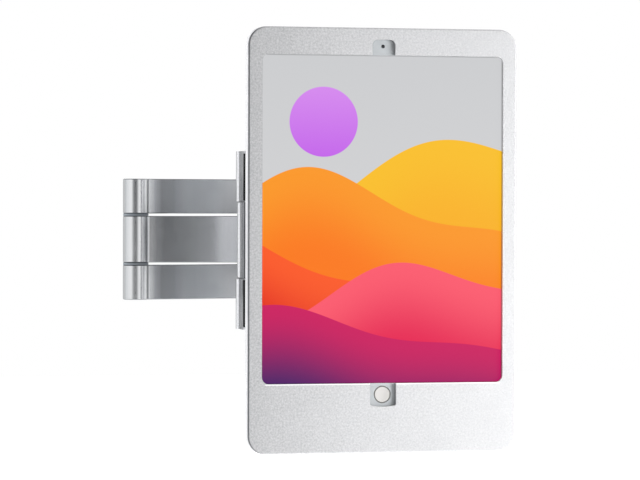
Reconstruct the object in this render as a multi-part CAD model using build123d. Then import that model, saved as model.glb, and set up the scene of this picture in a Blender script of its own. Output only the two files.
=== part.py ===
from build123d import *
import math
import os

# Folding wall arm with a locking tablet enclosure, in millimetres.
# +Z is up, the wall is the plane y = 0, and the screen faces -Y.
# The origin is the centre of the wall plate's bolt pattern, on the wall.

os.makedirs("parts", exist_ok=True)

# Running and seating clearances
RUN_FIT = 0.05
SEAT_FIT = 0.02
AXIAL_PLAY = 0.05
SCREW_FIT = 0.05

# Wall plate and the knuckle that stands on it
WALL_PLATE_WIDTH = 70.0
WALL_PLATE_HEIGHT = 160.0
WALL_PLATE_THICKNESS = 4.0
WALL_PLATE_CORNER = 8.0
WALL_HOLE_DIAMETER = 6.5
WALL_HOLE_FROM_SIDE = 12.0
WALL_HOLE_FROM_END = 15.0
WALL_AXIS_OFFSET = 24.0
KNUCKLE_FOOT_WIDTH = 50.0
KNUCKLE_FOOT_THICKNESS = 5.0
KNUCKLE_WEB_THICKNESS = 11.2
KNUCKLE_SCREW_SPACING_X = 36.0
KNUCKLE_SCREW_SPACING_Z = 18.0
KNUCKLE_SCREW_DIAMETER = 5.0
KNUCKLE_SCREW_HEAD_DIAMETER = 9.0
KNUCKLE_SCREW_HEAD_HEIGHT = 2.3
KNUCKLE_SCREW_SINK = 0.2
PLATE_EDGE_CHAMFER = 0.6

# Folding arm: outer bands of the rear arm, middle band of the front arm
ARM_LENGTH = 150.0
REAR_ARM_ANGLE = 15.0
FRONT_ARM_ANGLE = 4.5
BARREL_RADIUS = 8.65
WEB_THICKNESS = 8.0
WEB_FILLET = 2.2
BAND_EDGE_CHAMFER = 0.5
MIDDLE_BAND_HEIGHT = 31.5
OUTER_BAND_HEIGHT = 23.4
WASHER_THICKNESS = 1.6
WASHER_INSET = 0.6

# Vertical pivots
PIN_DIAMETER = 8.0
PIN_HEAD_DIAMETER = 12.6
PIN_HEAD_HEIGHT = 3.0
BUSHING_WALL = 1.5
CAP_THICKNESS = 1.5
CAP_EDGE_CHAMFER = 0.3
PIVOT_NUT_FLATS = 10.6
PIVOT_NUT_HEIGHT = 3.5

# Swivel yoke at the end of the front arm
YOKE_LUG_THICKNESS = 4.5
YOKE_LUG_RADIUS = 9.5
YOKE_WALL_THICKNESS = 6.0
YOKE_WALL_WIDTH = 26.0
YOKE_WALL_CORNER = 3.0
YOKE_WALL_GAP = 0.85
YOKE_EDGE_CHAMFER = 1.0
YOKE_BOSS_BACKING = 2.0
HEAD_PIN_CHAMFER = 1.0
HEAD_NUT_FLATS = 13.0
HEAD_NUT_HEIGHT = 6.0

# Tilt pivot
TILT_SWING_GAP = 8.5
TILT_BOSS_RADIUS = 8.5
TILT_BOSS_LENGTH = 34.8
TILT_BOLT_DIAMETER = 6.0
TILT_NUT_FLATS = 10.0
TILT_NUT_HEIGHT = 5.0
TILT_HEAD_HEIGHT = 4.0
TILT_HEAD_CHAMFER = 0.8
TILT_WASHER_RADIUS = 7.5
TILT_WASHER_THICKNESS = 1.5
TILT_EAR_THICKNESS = 3.0
TILT_EAR_RADIUS = 9.0
TILT_BASE_HEIGHT = 44.0
TILT_BEND_RADIUS = 2.0

# Rotation pivot between the tilt bracket and the screen plate
ROTATION_BOLT_DIAMETER = 8.0
ROTATION_HEAD_DIAMETER = 16.0
ROTATION_HEAD_HEIGHT = 3.0
ROTATION_HEAD_CHAMFER = 0.8
ROTATION_NUT_FLATS = 13.0
ROTATION_NUT_HEIGHT = 5.5
ROTATION_WASHER_DIAMETER = 34.0
ROTATION_WASHER_THICKNESS = 1.5

# Screen plate with the 75 mm hole pattern and a spare 100 mm pattern
SCREEN_PLATE_SIZE = 115.0
SCREEN_PLATE_THICKNESS = 2.5
SCREEN_PLATE_CORNER = 8.0
SCREEN_SCALLOP_RADIUS = 30.0
SCREEN_SCALLOP_DEPTH = 11.4
SCREEN_HOLE_SPACING = 75.0
SCREEN_SPARE_SPACING = 100.0
SCREEN_SPARE_DIAMETER = 5.0
SCREEN_SCREW_DIAMETER = 4.0
SCREEN_SCREW_HEAD_DIAMETER = 8.0
SCREEN_SCREW_HEAD_HEIGHT = 2.4
SCREEN_SCREW_CHAMFER = 0.8
SCREEN_SCREW_LENGTH = 14.0

# Rolled saddle whose edge tabs stand behind the enclosure's sides
SADDLE_HEIGHT = 117.5
SADDLE_SHEET = 3.0
SADDLE_GAP = 3.0
SADDLE_DEPTH = 20.5
SADDLE_BEAD_RADIUS = 3.5
SADDLE_BEAD_PROUD = 1.4
SADDLE_TAB_HEIGHT = 51.0
SADDLE_TAB_SETBACK = 0.8
SADDLE_RELIEF_WIDTH = 0.9
SADDLE_RELIEF_DROP = 1.0
SADDLE_GROOVE_WIDTH = 2.2
SADDLE_GROOVE_DEPTH = 0.7
SADDLE_GROOVE_PITCH = 5.6
SADDLE_GROOVE_START = 4.6
SADDLE_CENTRE_HOLE = 26.0
STANDOFF_DIAMETER = 9.0
STANDOFF_SOLID_END = 2.0
EDGE_GASKET_WIDTH = 3.5
EDGE_GASKET_LIP = 2.5
EDGE_GASKET_END_INSET = 1.8
EDGE_GASKET_GAP = 1.0

# Tablet held in the enclosure
TABLET_WIDTH = 174.0
TABLET_HEIGHT = 250.0
TABLET_THICKNESS = 7.5
TABLET_CORNER = 10.0
TABLET_EDGE_RADIUS = 2.0
GLASS_THICKNESS = 0.8
GLASS_INSET = 1.0
GLASS_SEAM = 0.1
DISPLAY_WIDTH = 166.0
DISPLAY_TOP_BORDER = 14.6
DISPLAY_BOTTOM_BORDER = 16.9
DISPLAY_CORNER = 3.0
DISPLAY_SEAM = 0.05
CAMERA_DIAMETER = 2.4
CAMERA_DEPTH = 2.0
CAMERA_FROM_TOP = 9.6
HOME_DIAMETER = 10.0
HOME_RING_WIDTH = 0.7
HOME_RING_PROUD = 0.15
HOME_DISH_RIM = 0.6
HOME_DISH = 0.25
HOME_THICKNESS = 1.2
HOME_TRAVEL = 0.4
HOME_WELL_SPARE = 0.4
HOME_FROM_BOTTOM = 10.95

# Enclosure round the tablet
TABLET_SIDE_SPACE = 4.0
TABLET_TOP_SPACE = 2.45
TABLET_BOTTOM_SPACE = 27.55
ENCLOSURE_CORNER = 12.0
ENCLOSURE_REAR_RADIUS = 4.0
TRAY_WALL = 1.5
COVER_THICKNESS = 2.0
COVER_EDGE_RADIUS = 1.2
COVER_SEAM = 0.3
COVER_SKIRT_WALL = 1.2
COVER_SKIRT_DEPTH = 6.0
COVER_POST_DIAMETER = 9.0
COVER_POST_FROM_SIDE = 31.0
COVER_POST_FROM_BOTTOM = 14.0
COVER_SCREW_DIAMETER = 4.0
COVER_SCREW_HEAD_DIAMETER = 8.0
COVER_SCREW_HEAD_HEIGHT = 2.0
COVER_SCREW_CHAMFER = 0.8
COVER_SCREW_LENGTH = 9.0
COVER_SCREW_SPARE = 0.5
CABLE_SLOT_WIDTH = 32.0
CABLE_SLOT_HEIGHT = 12.0
FRONT_PAD_THICKNESS = 0.6
FRONT_PAD_INSET = 1.2
BACK_PAD_THICKNESS = 1.4
BACK_PAD_INSET = 8.0
SIDE_PAD_LENGTH = 60.0
SIDE_PAD_OFFSET = 62.0
SIDE_PAD_FRONT = 1.5

# Openings in the front cover
WINDOW_SIDE_OVERLAP = 1.3
WINDOW_TOP_OVERLAP = 0.95
WINDOW_BOTTOM_OVERLAP = 1.55
WINDOW_CORNER = 4.7
CAMERA_CUT_WIDTH = 15.6
CAMERA_CUT_HEIGHT = 9.8
CAMERA_CUT_CORNER = 3.6
CAMERA_CUT_CROWN = 0.6
BUTTON_CUT_WIDTH = 17.7
BUTTON_CUT_HEIGHT = 14.4
BUTTON_CUT_CORNER = 1.0
BUTTON_CUT_BULGE = 1.1

# Depths behind the enclosure's front face, from the front to the back
glass_depth = COVER_THICKNESS + FRONT_PAD_THICKNESS
tablet_back = glass_depth + TABLET_THICKNESS
tray_floor = tablet_back + BACK_PAD_THICKNESS
enclosure_depth = tray_floor + TRAY_WALL
saddle_front = enclosure_depth + SADDLE_GAP
saddle_back = saddle_front + SADDLE_DEPTH
saddle_web_front = saddle_back - SADDLE_SHEET
screen_plate_back = saddle_back + SCREEN_PLATE_THICKNESS
tilt_base_front = screen_plate_back + ROTATION_WASHER_THICKNESS
tilt_base_back = tilt_base_front + TILT_EAR_THICKNESS
tilt_axis_depth = tilt_base_back + TILT_SWING_GAP + TILT_BOSS_RADIUS
head_axis_depth = tilt_axis_depth + TILT_BOSS_RADIUS + YOKE_BOSS_BACKING + YOKE_WALL_GAP + BARREL_RADIUS

# Places that follow from the sizes
wall_axis = Vector(0, -WALL_AXIS_OFFSET, 0)
rear_angle = math.radians(REAR_ARM_ANGLE)
front_angle = math.radians(FRONT_ARM_ANGLE)
elbow_axis = wall_axis + Vector(-math.cos(rear_angle), -math.sin(rear_angle), 0) * ARM_LENGTH
head_axis = elbow_axis + Vector(math.cos(front_angle), -math.sin(front_angle), 0) * ARM_LENGTH
head_x = head_axis.X
front_y = head_axis.Y - head_axis_depth
middle_top = MIDDLE_BAND_HEIGHT / 2
washer_bottom = middle_top + AXIAL_PLAY
outer_bottom = washer_bottom + WASHER_THICKNESS
outer_top = outer_bottom + OUTER_BAND_HEIGHT
pin_seat = outer_top - CAP_THICKNESS - PIN_HEAD_HEIGHT
bushing_radius = PIN_DIAMETER / 2 + RUN_FIT + BUSHING_WALL
ear_inner_x = TILT_BOSS_LENGTH / 2 + TILT_WASHER_THICKNESS + AXIAL_PLAY
half_width = TABLET_WIDTH / 2 + TABLET_SIDE_SPACE
half_height = (TABLET_TOP_SPACE + TABLET_HEIGHT + TABLET_BOTTOM_SPACE) / 2
tablet_top = half_height - TABLET_TOP_SPACE
tablet_bottom = tablet_top - TABLET_HEIGHT
tablet_z = (tablet_top + tablet_bottom) / 2
window_width = DISPLAY_WIDTH - 2 * WINDOW_SIDE_OVERLAP
window_top = tablet_top - DISPLAY_TOP_BORDER - WINDOW_TOP_OVERLAP
window_bottom = tablet_bottom + DISPLAY_BOTTOM_BORDER + WINDOW_BOTTOM_OVERLAP
window_z = (window_top + window_bottom) / 2
window_height = window_top - window_bottom
camera_z = tablet_top - CAMERA_FROM_TOP
home_z = tablet_bottom + HOME_FROM_BOTTOM
home_radius = HOME_DIAMETER / 2
home_hole_radius = home_radius + RUN_FIT + HOME_RING_WIDTH
post_x = half_width - COVER_POST_FROM_SIDE
post_z = COVER_POST_FROM_BOTTOM - half_height


def save(shape, name):
    """Write one sub-part to its own file."""
    shape.label = name
    export_step(shape, f"parts/{name}.step")


def depth_plane(depth, z=0.0):
    """Plane parallel to the screen, this far behind the enclosure's front face, its normal to the front."""
    return Plane(origin=(head_x, front_y + depth, z), x_dir=(1, 0, 0), z_dir=(0, -1, 0))


def slab(outline, front, back, z=0.0):
    """Solid of an outline parallel to the screen, between two depths."""
    return extrude(depth_plane(back, z) * outline, back - front)


def rod(radius, front, back, x=0.0, z=0.0):
    """Round rod along the depth."""
    return slab(Pos(x, z) * Circle(radius), front, back)


def upright(radius, bottom, top, axis):
    """Round rod along Z on a vertical axis."""
    return Pos(axis.X, axis.Y, bottom) * extrude(Circle(radius), top - bottom)


def crosswise(radius, start, end, depth):
    """Round rod along X, centred on the screen's middle, at a depth behind the front face."""
    plane = Plane(origin=(head_x + start, front_y + depth, 0), x_dir=(0, 1, 0), z_dir=(1, 0, 0))
    return extrude(plane * Circle(radius), end - start)


def corners(spacing_x, spacing_z):
    """The four corners of a rectangular pattern."""
    return [(sx * spacing_x / 2, sz * spacing_z / 2) for sx in (-1, 1) for sz in (-1, 1)]


# Wall side

def wall_outline(width, height, corner):
    """Rounded rectangle on the wall plane, seen from the room."""
    plane = Plane(origin=(0, 0, 0), x_dir=(1, 0, 0), z_dir=(0, -1, 0))
    return plane * RectangleRounded(width, height, corner)


def wall_rod(radius, low, high, x, z):
    """Round rod out from the wall between two distances."""
    plane = Plane(origin=(x, -low, z), x_dir=(1, 0, 0), z_dir=(0, -1, 0))
    return extrude(plane * Circle(radius), high - low)


def make_wall_plate():
    """Steel plate with four screw holes and countersunk holes for the knuckle's screws."""
    outline = wall_outline(WALL_PLATE_WIDTH, WALL_PLATE_HEIGHT, WALL_PLATE_CORNER)
    plate = extrude(outline, WALL_PLATE_THICKNESS)
    front_edges = plate.faces().sort_by(Axis.Y)[0].edges()
    plate = chamfer(front_edges, PLATE_EDGE_CHAMFER)
    spacing_x = WALL_PLATE_WIDTH - 2 * WALL_HOLE_FROM_SIDE
    spacing_z = WALL_PLATE_HEIGHT - 2 * WALL_HOLE_FROM_END
    for x, z in corners(spacing_x, spacing_z):
        plate -= wall_rod(WALL_HOLE_DIAMETER / 2, -1, WALL_PLATE_THICKNESS + 1, x, z)
    head_end = KNUCKLE_SCREW_SINK + KNUCKLE_SCREW_HEAD_HEIGHT
    for x, z in corners(KNUCKLE_SCREW_SPACING_X, KNUCKLE_SCREW_SPACING_Z):
        plate -= wall_rod(KNUCKLE_SCREW_DIAMETER / 2 + SCREW_FIT, -1, WALL_PLATE_THICKNESS + 1, x, z)
        plate -= wall_rod(KNUCKLE_SCREW_HEAD_DIAMETER / 2 + SCREW_FIT, -1, head_end, x, z)
    return plate


def make_wall_knuckle():
    """Extruded foot with a web and a barrel that takes the rear arm's pin."""
    foot_front = WALL_PLATE_THICKNESS + KNUCKLE_FOOT_THICKNESS
    foot = Pos(0, -(WALL_PLATE_THICKNESS + foot_front) / 2) * Rectangle(
        KNUCKLE_FOOT_WIDTH, KNUCKLE_FOOT_THICKNESS)
    web = Pos(0, -(foot_front + WALL_AXIS_OFFSET) / 2) * Rectangle(
        KNUCKLE_WEB_THICKNESS, WALL_AXIS_OFFSET - foot_front)
    section = foot + web
    root = [v for v in section.vertices()
            if abs(abs(v.X) - KNUCKLE_WEB_THICKNESS / 2) < 0.01 and v.Y > -foot_front - 0.01]
    section = fillet(root, WEB_FILLET)
    section += Pos(0, -WALL_AXIS_OFFSET) * Circle(BARREL_RADIUS)
    knuckle = Pos(0, 0, -middle_top) * extrude(section, MIDDLE_BAND_HEIGHT)
    knuckle -= upright(bushing_radius + SEAT_FIT, -middle_top - 1, middle_top + 1, wall_axis)
    for x, z in corners(KNUCKLE_SCREW_SPACING_X, KNUCKLE_SCREW_SPACING_Z):
        knuckle -= wall_rod(
            KNUCKLE_SCREW_DIAMETER / 2 + SCREW_FIT, WALL_PLATE_THICKNESS - 1, foot_front + 1, x, z)
    return knuckle


def make_knuckle_screws():
    """Four flat-headed screws from the back of the wall plate into the knuckle's foot."""
    tip = WALL_PLATE_THICKNESS + KNUCKLE_FOOT_THICKNESS
    screws = []
    for x, z in corners(KNUCKLE_SCREW_SPACING_X, KNUCKLE_SCREW_SPACING_Z):
        screw = wall_rod(KNUCKLE_SCREW_DIAMETER / 2, KNUCKLE_SCREW_SINK, tip, x, z)
        screw += wall_rod(KNUCKLE_SCREW_HEAD_DIAMETER / 2, KNUCKLE_SCREW_SINK,
                          KNUCKLE_SCREW_SINK + KNUCKLE_SCREW_HEAD_HEIGHT, x, z)
        screws.append(screw)
    return Compound(children=screws)


# Folding arm

def band_section():
    """Plan of one arm: a barrel at each end, joined by a flat web with filleted roots."""
    web = Pos(ARM_LENGTH / 2, 0) * Rectangle(ARM_LENGTH, WEB_THICKNESS)
    plan = web + Circle(BARREL_RADIUS) + Pos(ARM_LENGTH, 0) * Circle(BARREL_RADIUS)
    root_x = math.sqrt(BARREL_RADIUS ** 2 - (WEB_THICKNESS / 2) ** 2)
    roots = [v for v in plan.vertices()
             if abs(abs(v.Y) - WEB_THICKNESS / 2) < 0.01
             and min(abs(v.X - root_x), abs(v.X - ARM_LENGTH + root_x)) < 0.01]
    return fillet(roots, WEB_FILLET)


def arm_band(bottom, top, axis, heading):
    """One band of the arm, standing between two heights, from an axis along a heading in degrees."""
    band = extrude(band_section(), top - bottom)
    ends = band.faces().sort_by(Axis.Z)
    outlines = ends[0].edges() + ends[-1].edges()
    band = chamfer(outlines, BAND_EDGE_CHAMFER)
    return Location((axis.X, axis.Y, bottom), (0, 0, heading)) * band


def make_rear_bands():
    """Upper and lower bands of the rear arm, bored for both pins."""
    upper = arm_band(outer_bottom, outer_top, wall_axis, 180 + REAR_ARM_ANGLE)
    lower = arm_band(-outer_top, -outer_bottom, wall_axis, 180 + REAR_ARM_ANGLE)
    cap_radius = PIN_HEAD_DIAMETER / 2 + SCREW_FIT
    for axis in (wall_axis, elbow_axis):
        bore = upright(PIN_DIAMETER / 2 + SEAT_FIT, -outer_top - 1, outer_top + 1, axis)
        upper = upper - bore - upright(cap_radius, pin_seat, outer_top + 1, axis)
        nut_top = -outer_top + CAP_THICKNESS + PIVOT_NUT_HEIGHT
        lower = lower - bore - upright(cap_radius, -outer_top - 1, nut_top, axis)
    return upper, lower


def make_front_arm():
    """Middle band, bored for a bushing at each end."""
    arm = arm_band(-middle_top, middle_top, elbow_axis, -FRONT_ARM_ANGLE)
    for axis in (elbow_axis, head_axis):
        arm -= upright(bushing_radius + SEAT_FIT, -middle_top - 1, middle_top + 1, axis)
    return arm


def make_pivot(axis):
    """Pin, nut, caps, thrust washers and bushing of one three-barrel hinge."""
    nut_seat = -outer_top + CAP_THICKNESS + PIVOT_NUT_HEIGHT
    pin = upright(PIN_DIAMETER / 2, nut_seat - PIVOT_NUT_HEIGHT, pin_seat, axis)
    pin += upright(PIN_HEAD_DIAMETER / 2, pin_seat, pin_seat + PIN_HEAD_HEIGHT, axis)
    nut = hex_nut(PIVOT_NUT_FLATS, PIVOT_NUT_HEIGHT, axis, nut_seat - PIVOT_NUT_HEIGHT)
    cap_radius = PIN_HEAD_DIAMETER / 2
    cap_top = upright(cap_radius, outer_top - CAP_THICKNESS, outer_top, axis)
    cap_top = chamfer(cap_top.edges().group_by(Axis.Z)[-1], CAP_EDGE_CHAMFER)
    cap_bottom = upright(cap_radius, -outer_top, -outer_top + CAP_THICKNESS, axis)
    cap_bottom = chamfer(cap_bottom.edges().group_by(Axis.Z)[0], CAP_EDGE_CHAMFER)
    washer_top = thrust_washer(washer_bottom, axis)
    washer_low = thrust_washer(-outer_bottom, axis)
    return pin, nut, cap_top, cap_bottom, washer_top, washer_low, make_bushing(axis)


def hex_nut(flats, height, axis, bottom, bore=PIN_DIAMETER):
    """Hexagon nut around a vertical pin."""
    outline = RegularPolygon(flats / 2, 6, major_radius=False) - Circle(bore / 2 + SEAT_FIT)
    return Pos(axis.X, axis.Y, bottom) * extrude(outline, height)


def thrust_washer(bottom, axis):
    """Washer between two barrels, a little smaller than they are."""
    ring = Circle(BARREL_RADIUS - WASHER_INSET) - Circle(PIN_DIAMETER / 2 + SEAT_FIT)
    return Pos(axis.X, axis.Y, bottom) * extrude(ring, WASHER_THICKNESS)


def make_bushing(axis):
    """Plain sleeve pressed into a middle barrel."""
    ring = Circle(bushing_radius) - Circle(PIN_DIAMETER / 2 + RUN_FIT)
    return Pos(axis.X, axis.Y, -middle_top) * extrude(ring, MIDDLE_BAND_HEIGHT)


# Head: swivel yoke and tilt bracket

def make_swivel_yoke():
    """Cast yoke: two lugs round the front arm's barrel, a wall, and a cross boss for the tilt bolt."""
    wall_back = head_axis_depth - BARREL_RADIUS - YOKE_WALL_GAP
    wall_front = wall_back - YOKE_WALL_THICKNESS
    lug_top = outer_bottom + YOKE_LUG_THICKNESS
    wall_mid = (wall_front + wall_back) / 2
    lug = Pos(head_axis.X, head_axis.Y) * Circle(YOKE_LUG_RADIUS)
    lug += Pos(head_x, front_y + (wall_mid + head_axis_depth) / 2) * Rectangle(
        2 * YOKE_LUG_RADIUS, head_axis_depth - wall_mid)
    yoke = Pos(0, 0, outer_bottom) * extrude(lug, YOKE_LUG_THICKNESS)
    yoke += Pos(0, 0, -lug_top) * extrude(lug, YOKE_LUG_THICKNESS)
    wall = slab(RectangleRounded(YOKE_WALL_WIDTH, 2 * lug_top, YOKE_WALL_CORNER), wall_front, wall_back)
    yoke += chamfer(wall.faces().sort_by(Axis.Y)[0].edges(), YOKE_EDGE_CHAMFER)
    boss = crosswise(TILT_BOSS_RADIUS, -TILT_BOSS_LENGTH / 2, TILT_BOSS_LENGTH / 2, tilt_axis_depth)
    bridge = slab(Rectangle(YOKE_WALL_WIDTH, 2 * TILT_BOSS_RADIUS), tilt_axis_depth, wall_mid)
    yoke = yoke + boss + bridge
    yoke -= upright(PIN_DIAMETER / 2 + SEAT_FIT, -lug_top - 1, lug_top + 1, head_axis)
    yoke -= crosswise(TILT_BOLT_DIAMETER / 2 + RUN_FIT, -TILT_BOSS_LENGTH, TILT_BOSS_LENGTH, tilt_axis_depth)
    return yoke


def make_head_pin():
    """Button-headed pin through the yoke's lugs and the front arm's barrel, with its nut."""
    lug_top = outer_bottom + YOKE_LUG_THICKNESS
    pin = upright(PIN_DIAMETER / 2, -lug_top - HEAD_NUT_HEIGHT, lug_top, head_axis)
    head = upright(PIN_HEAD_DIAMETER / 2, lug_top, lug_top + PIN_HEAD_HEIGHT, head_axis)
    head = chamfer(head.edges().group_by(Axis.Z)[-1], HEAD_PIN_CHAMFER)
    nut = hex_nut(HEAD_NUT_FLATS, HEAD_NUT_HEIGHT, head_axis, -lug_top - HEAD_NUT_HEIGHT)
    return pin + head, nut


def make_tilt_bolt():
    """Cross bolt, nut and the two friction washers of the tilt pivot."""
    ear_outer = ear_inner_x + TILT_EAR_THICKNESS
    bolt = crosswise(TILT_BOLT_DIAMETER / 2, -ear_outer, ear_outer + TILT_NUT_HEIGHT, tilt_axis_depth)
    head = crosswise(TILT_NUT_FLATS / 2, -ear_outer - TILT_HEAD_HEIGHT, -ear_outer, tilt_axis_depth)
    head = chamfer(head.edges().group_by(Axis.X)[0], TILT_HEAD_CHAMFER)
    outline = RegularPolygon(TILT_NUT_FLATS / 2, 6, major_radius=False)
    outline -= Circle(TILT_BOLT_DIAMETER / 2 + SEAT_FIT)
    nut_plane = Plane(
        origin=(head_x + ear_outer, front_y + tilt_axis_depth, 0), x_dir=(0, 1, 0), z_dir=(1, 0, 0))
    nut = extrude(nut_plane * outline, TILT_NUT_HEIGHT)
    washers = []
    for start in (-ear_inner_x, ear_inner_x - TILT_WASHER_THICKNESS):
        end = start + TILT_WASHER_THICKNESS
        washer = crosswise(TILT_WASHER_RADIUS, start, end, tilt_axis_depth)
        washer -= crosswise(TILT_BOLT_DIAMETER / 2 + SEAT_FIT, start - 1, end + 1, tilt_axis_depth)
        washers.append(washer)
    return bolt + head, nut, Compound(children=washers)


def make_tilt_bracket():
    """Sheet bracket folded to a U: a base across the back of the screen plate and two round-ended ears."""
    outer_x = ear_inner_x + TILT_EAR_THICKNESS
    base = Rectangle(2 * outer_x, TILT_EAR_THICKNESS)
    base = Pos(head_x, front_y + (tilt_base_front + tilt_base_back) / 2) * base
    ears = base
    for side in (-1, 1):
        length = tilt_axis_depth + TILT_EAR_RADIUS - tilt_base_front
        middle = front_y + tilt_base_front + length / 2
        ears += Pos(head_x + side * (ear_inner_x + TILT_EAR_THICKNESS / 2), middle) * Rectangle(
            TILT_EAR_THICKNESS, length)
    front = front_y + tilt_base_front
    bends = [v for v in ears.vertices() if abs(v.Y - front) < 0.01]
    ears = fillet(bends, TILT_BEND_RADIUS)
    bracket = Pos(0, 0, -TILT_BASE_HEIGHT / 2) * extrude(ears, TILT_BASE_HEIGHT)
    # Side view of the ears: the full height at the base, tapering to the round end
    side_plane = Plane(origin=(head_x - outer_x - 1, 0, 0), x_dir=(0, 1, 0), z_dir=(1, 0, 0))
    base_y = front_y + tilt_base_back
    axis_y = front_y + tilt_axis_depth
    taper = make_hull([
        *(Pos(axis_y, 0) * Circle(TILT_EAR_RADIUS)).edges(),
        *(Pos((front_y + tilt_base_front + base_y) / 2, 0) * Rectangle(
            TILT_EAR_THICKNESS, TILT_BASE_HEIGHT)).edges(),
    ])
    keep = extrude(side_plane * taper, 2 * outer_x + 2)
    bracket = bracket & keep
    bracket -= crosswise(TILT_BOLT_DIAMETER / 2 + SEAT_FIT, -outer_x - 1, outer_x + 1, tilt_axis_depth)
    bracket -= rod(ROTATION_BOLT_DIAMETER / 2 + SEAT_FIT, tilt_base_front - 1, tilt_base_back + 1)
    return bracket


def make_rotation_bolt():
    """Shoulder bolt that the screen plate turns on, its nut and the plain washer behind the plate."""
    shank_end = tilt_base_back + ROTATION_NUT_HEIGHT
    head_front = saddle_back - AXIAL_PLAY - ROTATION_HEAD_HEIGHT
    bolt = rod(ROTATION_BOLT_DIAMETER / 2, saddle_back - AXIAL_PLAY, shank_end)
    head = rod(ROTATION_HEAD_DIAMETER / 2, head_front, saddle_back - AXIAL_PLAY)
    head = chamfer(head.edges().group_by(Axis.Y)[0], ROTATION_HEAD_CHAMFER)
    outline = RegularPolygon(ROTATION_NUT_FLATS / 2, 6, major_radius=False)
    outline -= Circle(ROTATION_BOLT_DIAMETER / 2 + SEAT_FIT)
    nut = slab(outline, tilt_base_back, shank_end)
    ring = Circle(ROTATION_WASHER_DIAMETER / 2) - Circle(ROTATION_BOLT_DIAMETER / 2 + SEAT_FIT)
    washer = slab(ring, screen_plate_back + AXIAL_PLAY, tilt_base_front)
    return bolt + head, nut, washer


# Screen plate and saddle

def make_screen_plate():
    """Square steel plate with scalloped sides, the hole pattern, slots and the pivot hole."""
    outline = RectangleRounded(SCREEN_PLATE_SIZE, SCREEN_PLATE_SIZE, SCREEN_PLATE_CORNER)
    reach = SCREEN_PLATE_SIZE / 2 + SCREEN_SCALLOP_RADIUS - SCREEN_SCALLOP_DEPTH
    for x, z in ((reach, 0), (-reach, 0), (0, reach), (0, -reach)):
        outline -= Pos(x, z) * Circle(SCREEN_SCALLOP_RADIUS)
    for x, z in corners(SCREEN_HOLE_SPACING, SCREEN_HOLE_SPACING):
        outline -= Pos(x, z) * Circle(SCREEN_SCREW_DIAMETER / 2 + SCREW_FIT)
    for x, z in corners(SCREEN_SPARE_SPACING, SCREEN_SPARE_SPACING):
        outline -= Pos(x, z) * Circle(SCREEN_SPARE_DIAMETER / 2)
    outline -= Circle(ROTATION_BOLT_DIAMETER / 2 + RUN_FIT)
    return slab(outline, saddle_back, screen_plate_back)


def make_screen_screws():
    """Four pan-headed screws through the screen plate and the saddle into the standoffs."""
    screws = []
    for x, z in corners(SCREEN_HOLE_SPACING, SCREEN_HOLE_SPACING):
        head = rod(SCREEN_SCREW_HEAD_DIAMETER / 2, screen_plate_back,
                   screen_plate_back + SCREEN_SCREW_HEAD_HEIGHT, x, z)
        head = chamfer(head.edges().group_by(Axis.Y)[-1], SCREEN_SCREW_CHAMFER)
        shank = rod(SCREEN_SCREW_DIAMETER / 2, screen_plate_back - SCREEN_SCREW_LENGTH,
                    screen_plate_back, x, z)
        screws.append(head + shank)
    return Compound(children=screws)


def saddle_section(setback):
    """Plan of the saddle: a web across the back, a rolled bead at each side and a grooved flange forward."""
    half = half_width - setback
    bead_x = half + SADDLE_BEAD_PROUD - SADDLE_BEAD_RADIUS
    bead_y = saddle_back - SADDLE_BEAD_RADIUS
    section = Pos(0, saddle_back - SADDLE_SHEET / 2) * Rectangle(2 * bead_x, SADDLE_SHEET)
    for side in (-1, 1):
        flange = Pos(side * (half - SADDLE_SHEET / 2), (saddle_front + bead_y) / 2) * Rectangle(
            SADDLE_SHEET, bead_y - saddle_front)
        section += flange
        section += Pos(side * bead_x, bead_y) * Circle(SADDLE_BEAD_RADIUS)
        for count in (0, 1):
            groove_y = saddle_front + SADDLE_GROOVE_START + SADDLE_GROOVE_PITCH * count
            section -= Pos(side * half, groove_y) * Rectangle(2 * SADDLE_GROOVE_DEPTH, SADDLE_GROOVE_WIDTH)
    return Pos(head_x, front_y) * section


def make_saddle():
    """Rolled saddle: each flange is cut by slanting reliefs into three tabs, the middle one set back."""
    tab_half = SADDLE_TAB_HEIGHT / 2
    end_height = SADDLE_HEIGHT / 2 - tab_half
    saddle = Pos(0, 0, tab_half) * extrude(saddle_section(0), end_height)
    saddle += Pos(0, 0, -SADDLE_HEIGHT / 2) * extrude(saddle_section(0), end_height)
    saddle += Pos(0, 0, -tab_half) * extrude(saddle_section(SADDLE_TAB_SETBACK), SADDLE_TAB_HEIGHT)
    slit_back = front_y + saddle_web_front
    slit_front = front_y + saddle_front - 1
    for side in (-1, 1):
        for end in (-1, 1):
            plane = Plane(origin=(head_x + side * half_width, 0, 0), x_dir=(0, 1, 0), z_dir=(1, 0, 0))
            slit = Polyline(
                (slit_front, end * (tab_half + SADDLE_RELIEF_DROP)),
                (slit_back, end * tab_half),
                (slit_back, end * (tab_half - SADDLE_RELIEF_WIDTH)),
                (slit_front, end * (tab_half + SADDLE_RELIEF_DROP - SADDLE_RELIEF_WIDTH)),
                close=True,
            )
            saddle -= extrude(plane * make_face(slit), 2 * SADDLE_BEAD_RADIUS, both=True)
    saddle -= rod(SADDLE_CENTRE_HOLE / 2, saddle_front, saddle_back + 1)
    for x, z in corners(SCREEN_HOLE_SPACING, SCREEN_HOLE_SPACING):
        saddle -= rod(SCREEN_SCREW_DIAMETER / 2 + SCREW_FIT, saddle_front, saddle_back + 1, x, z)
    return saddle


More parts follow.
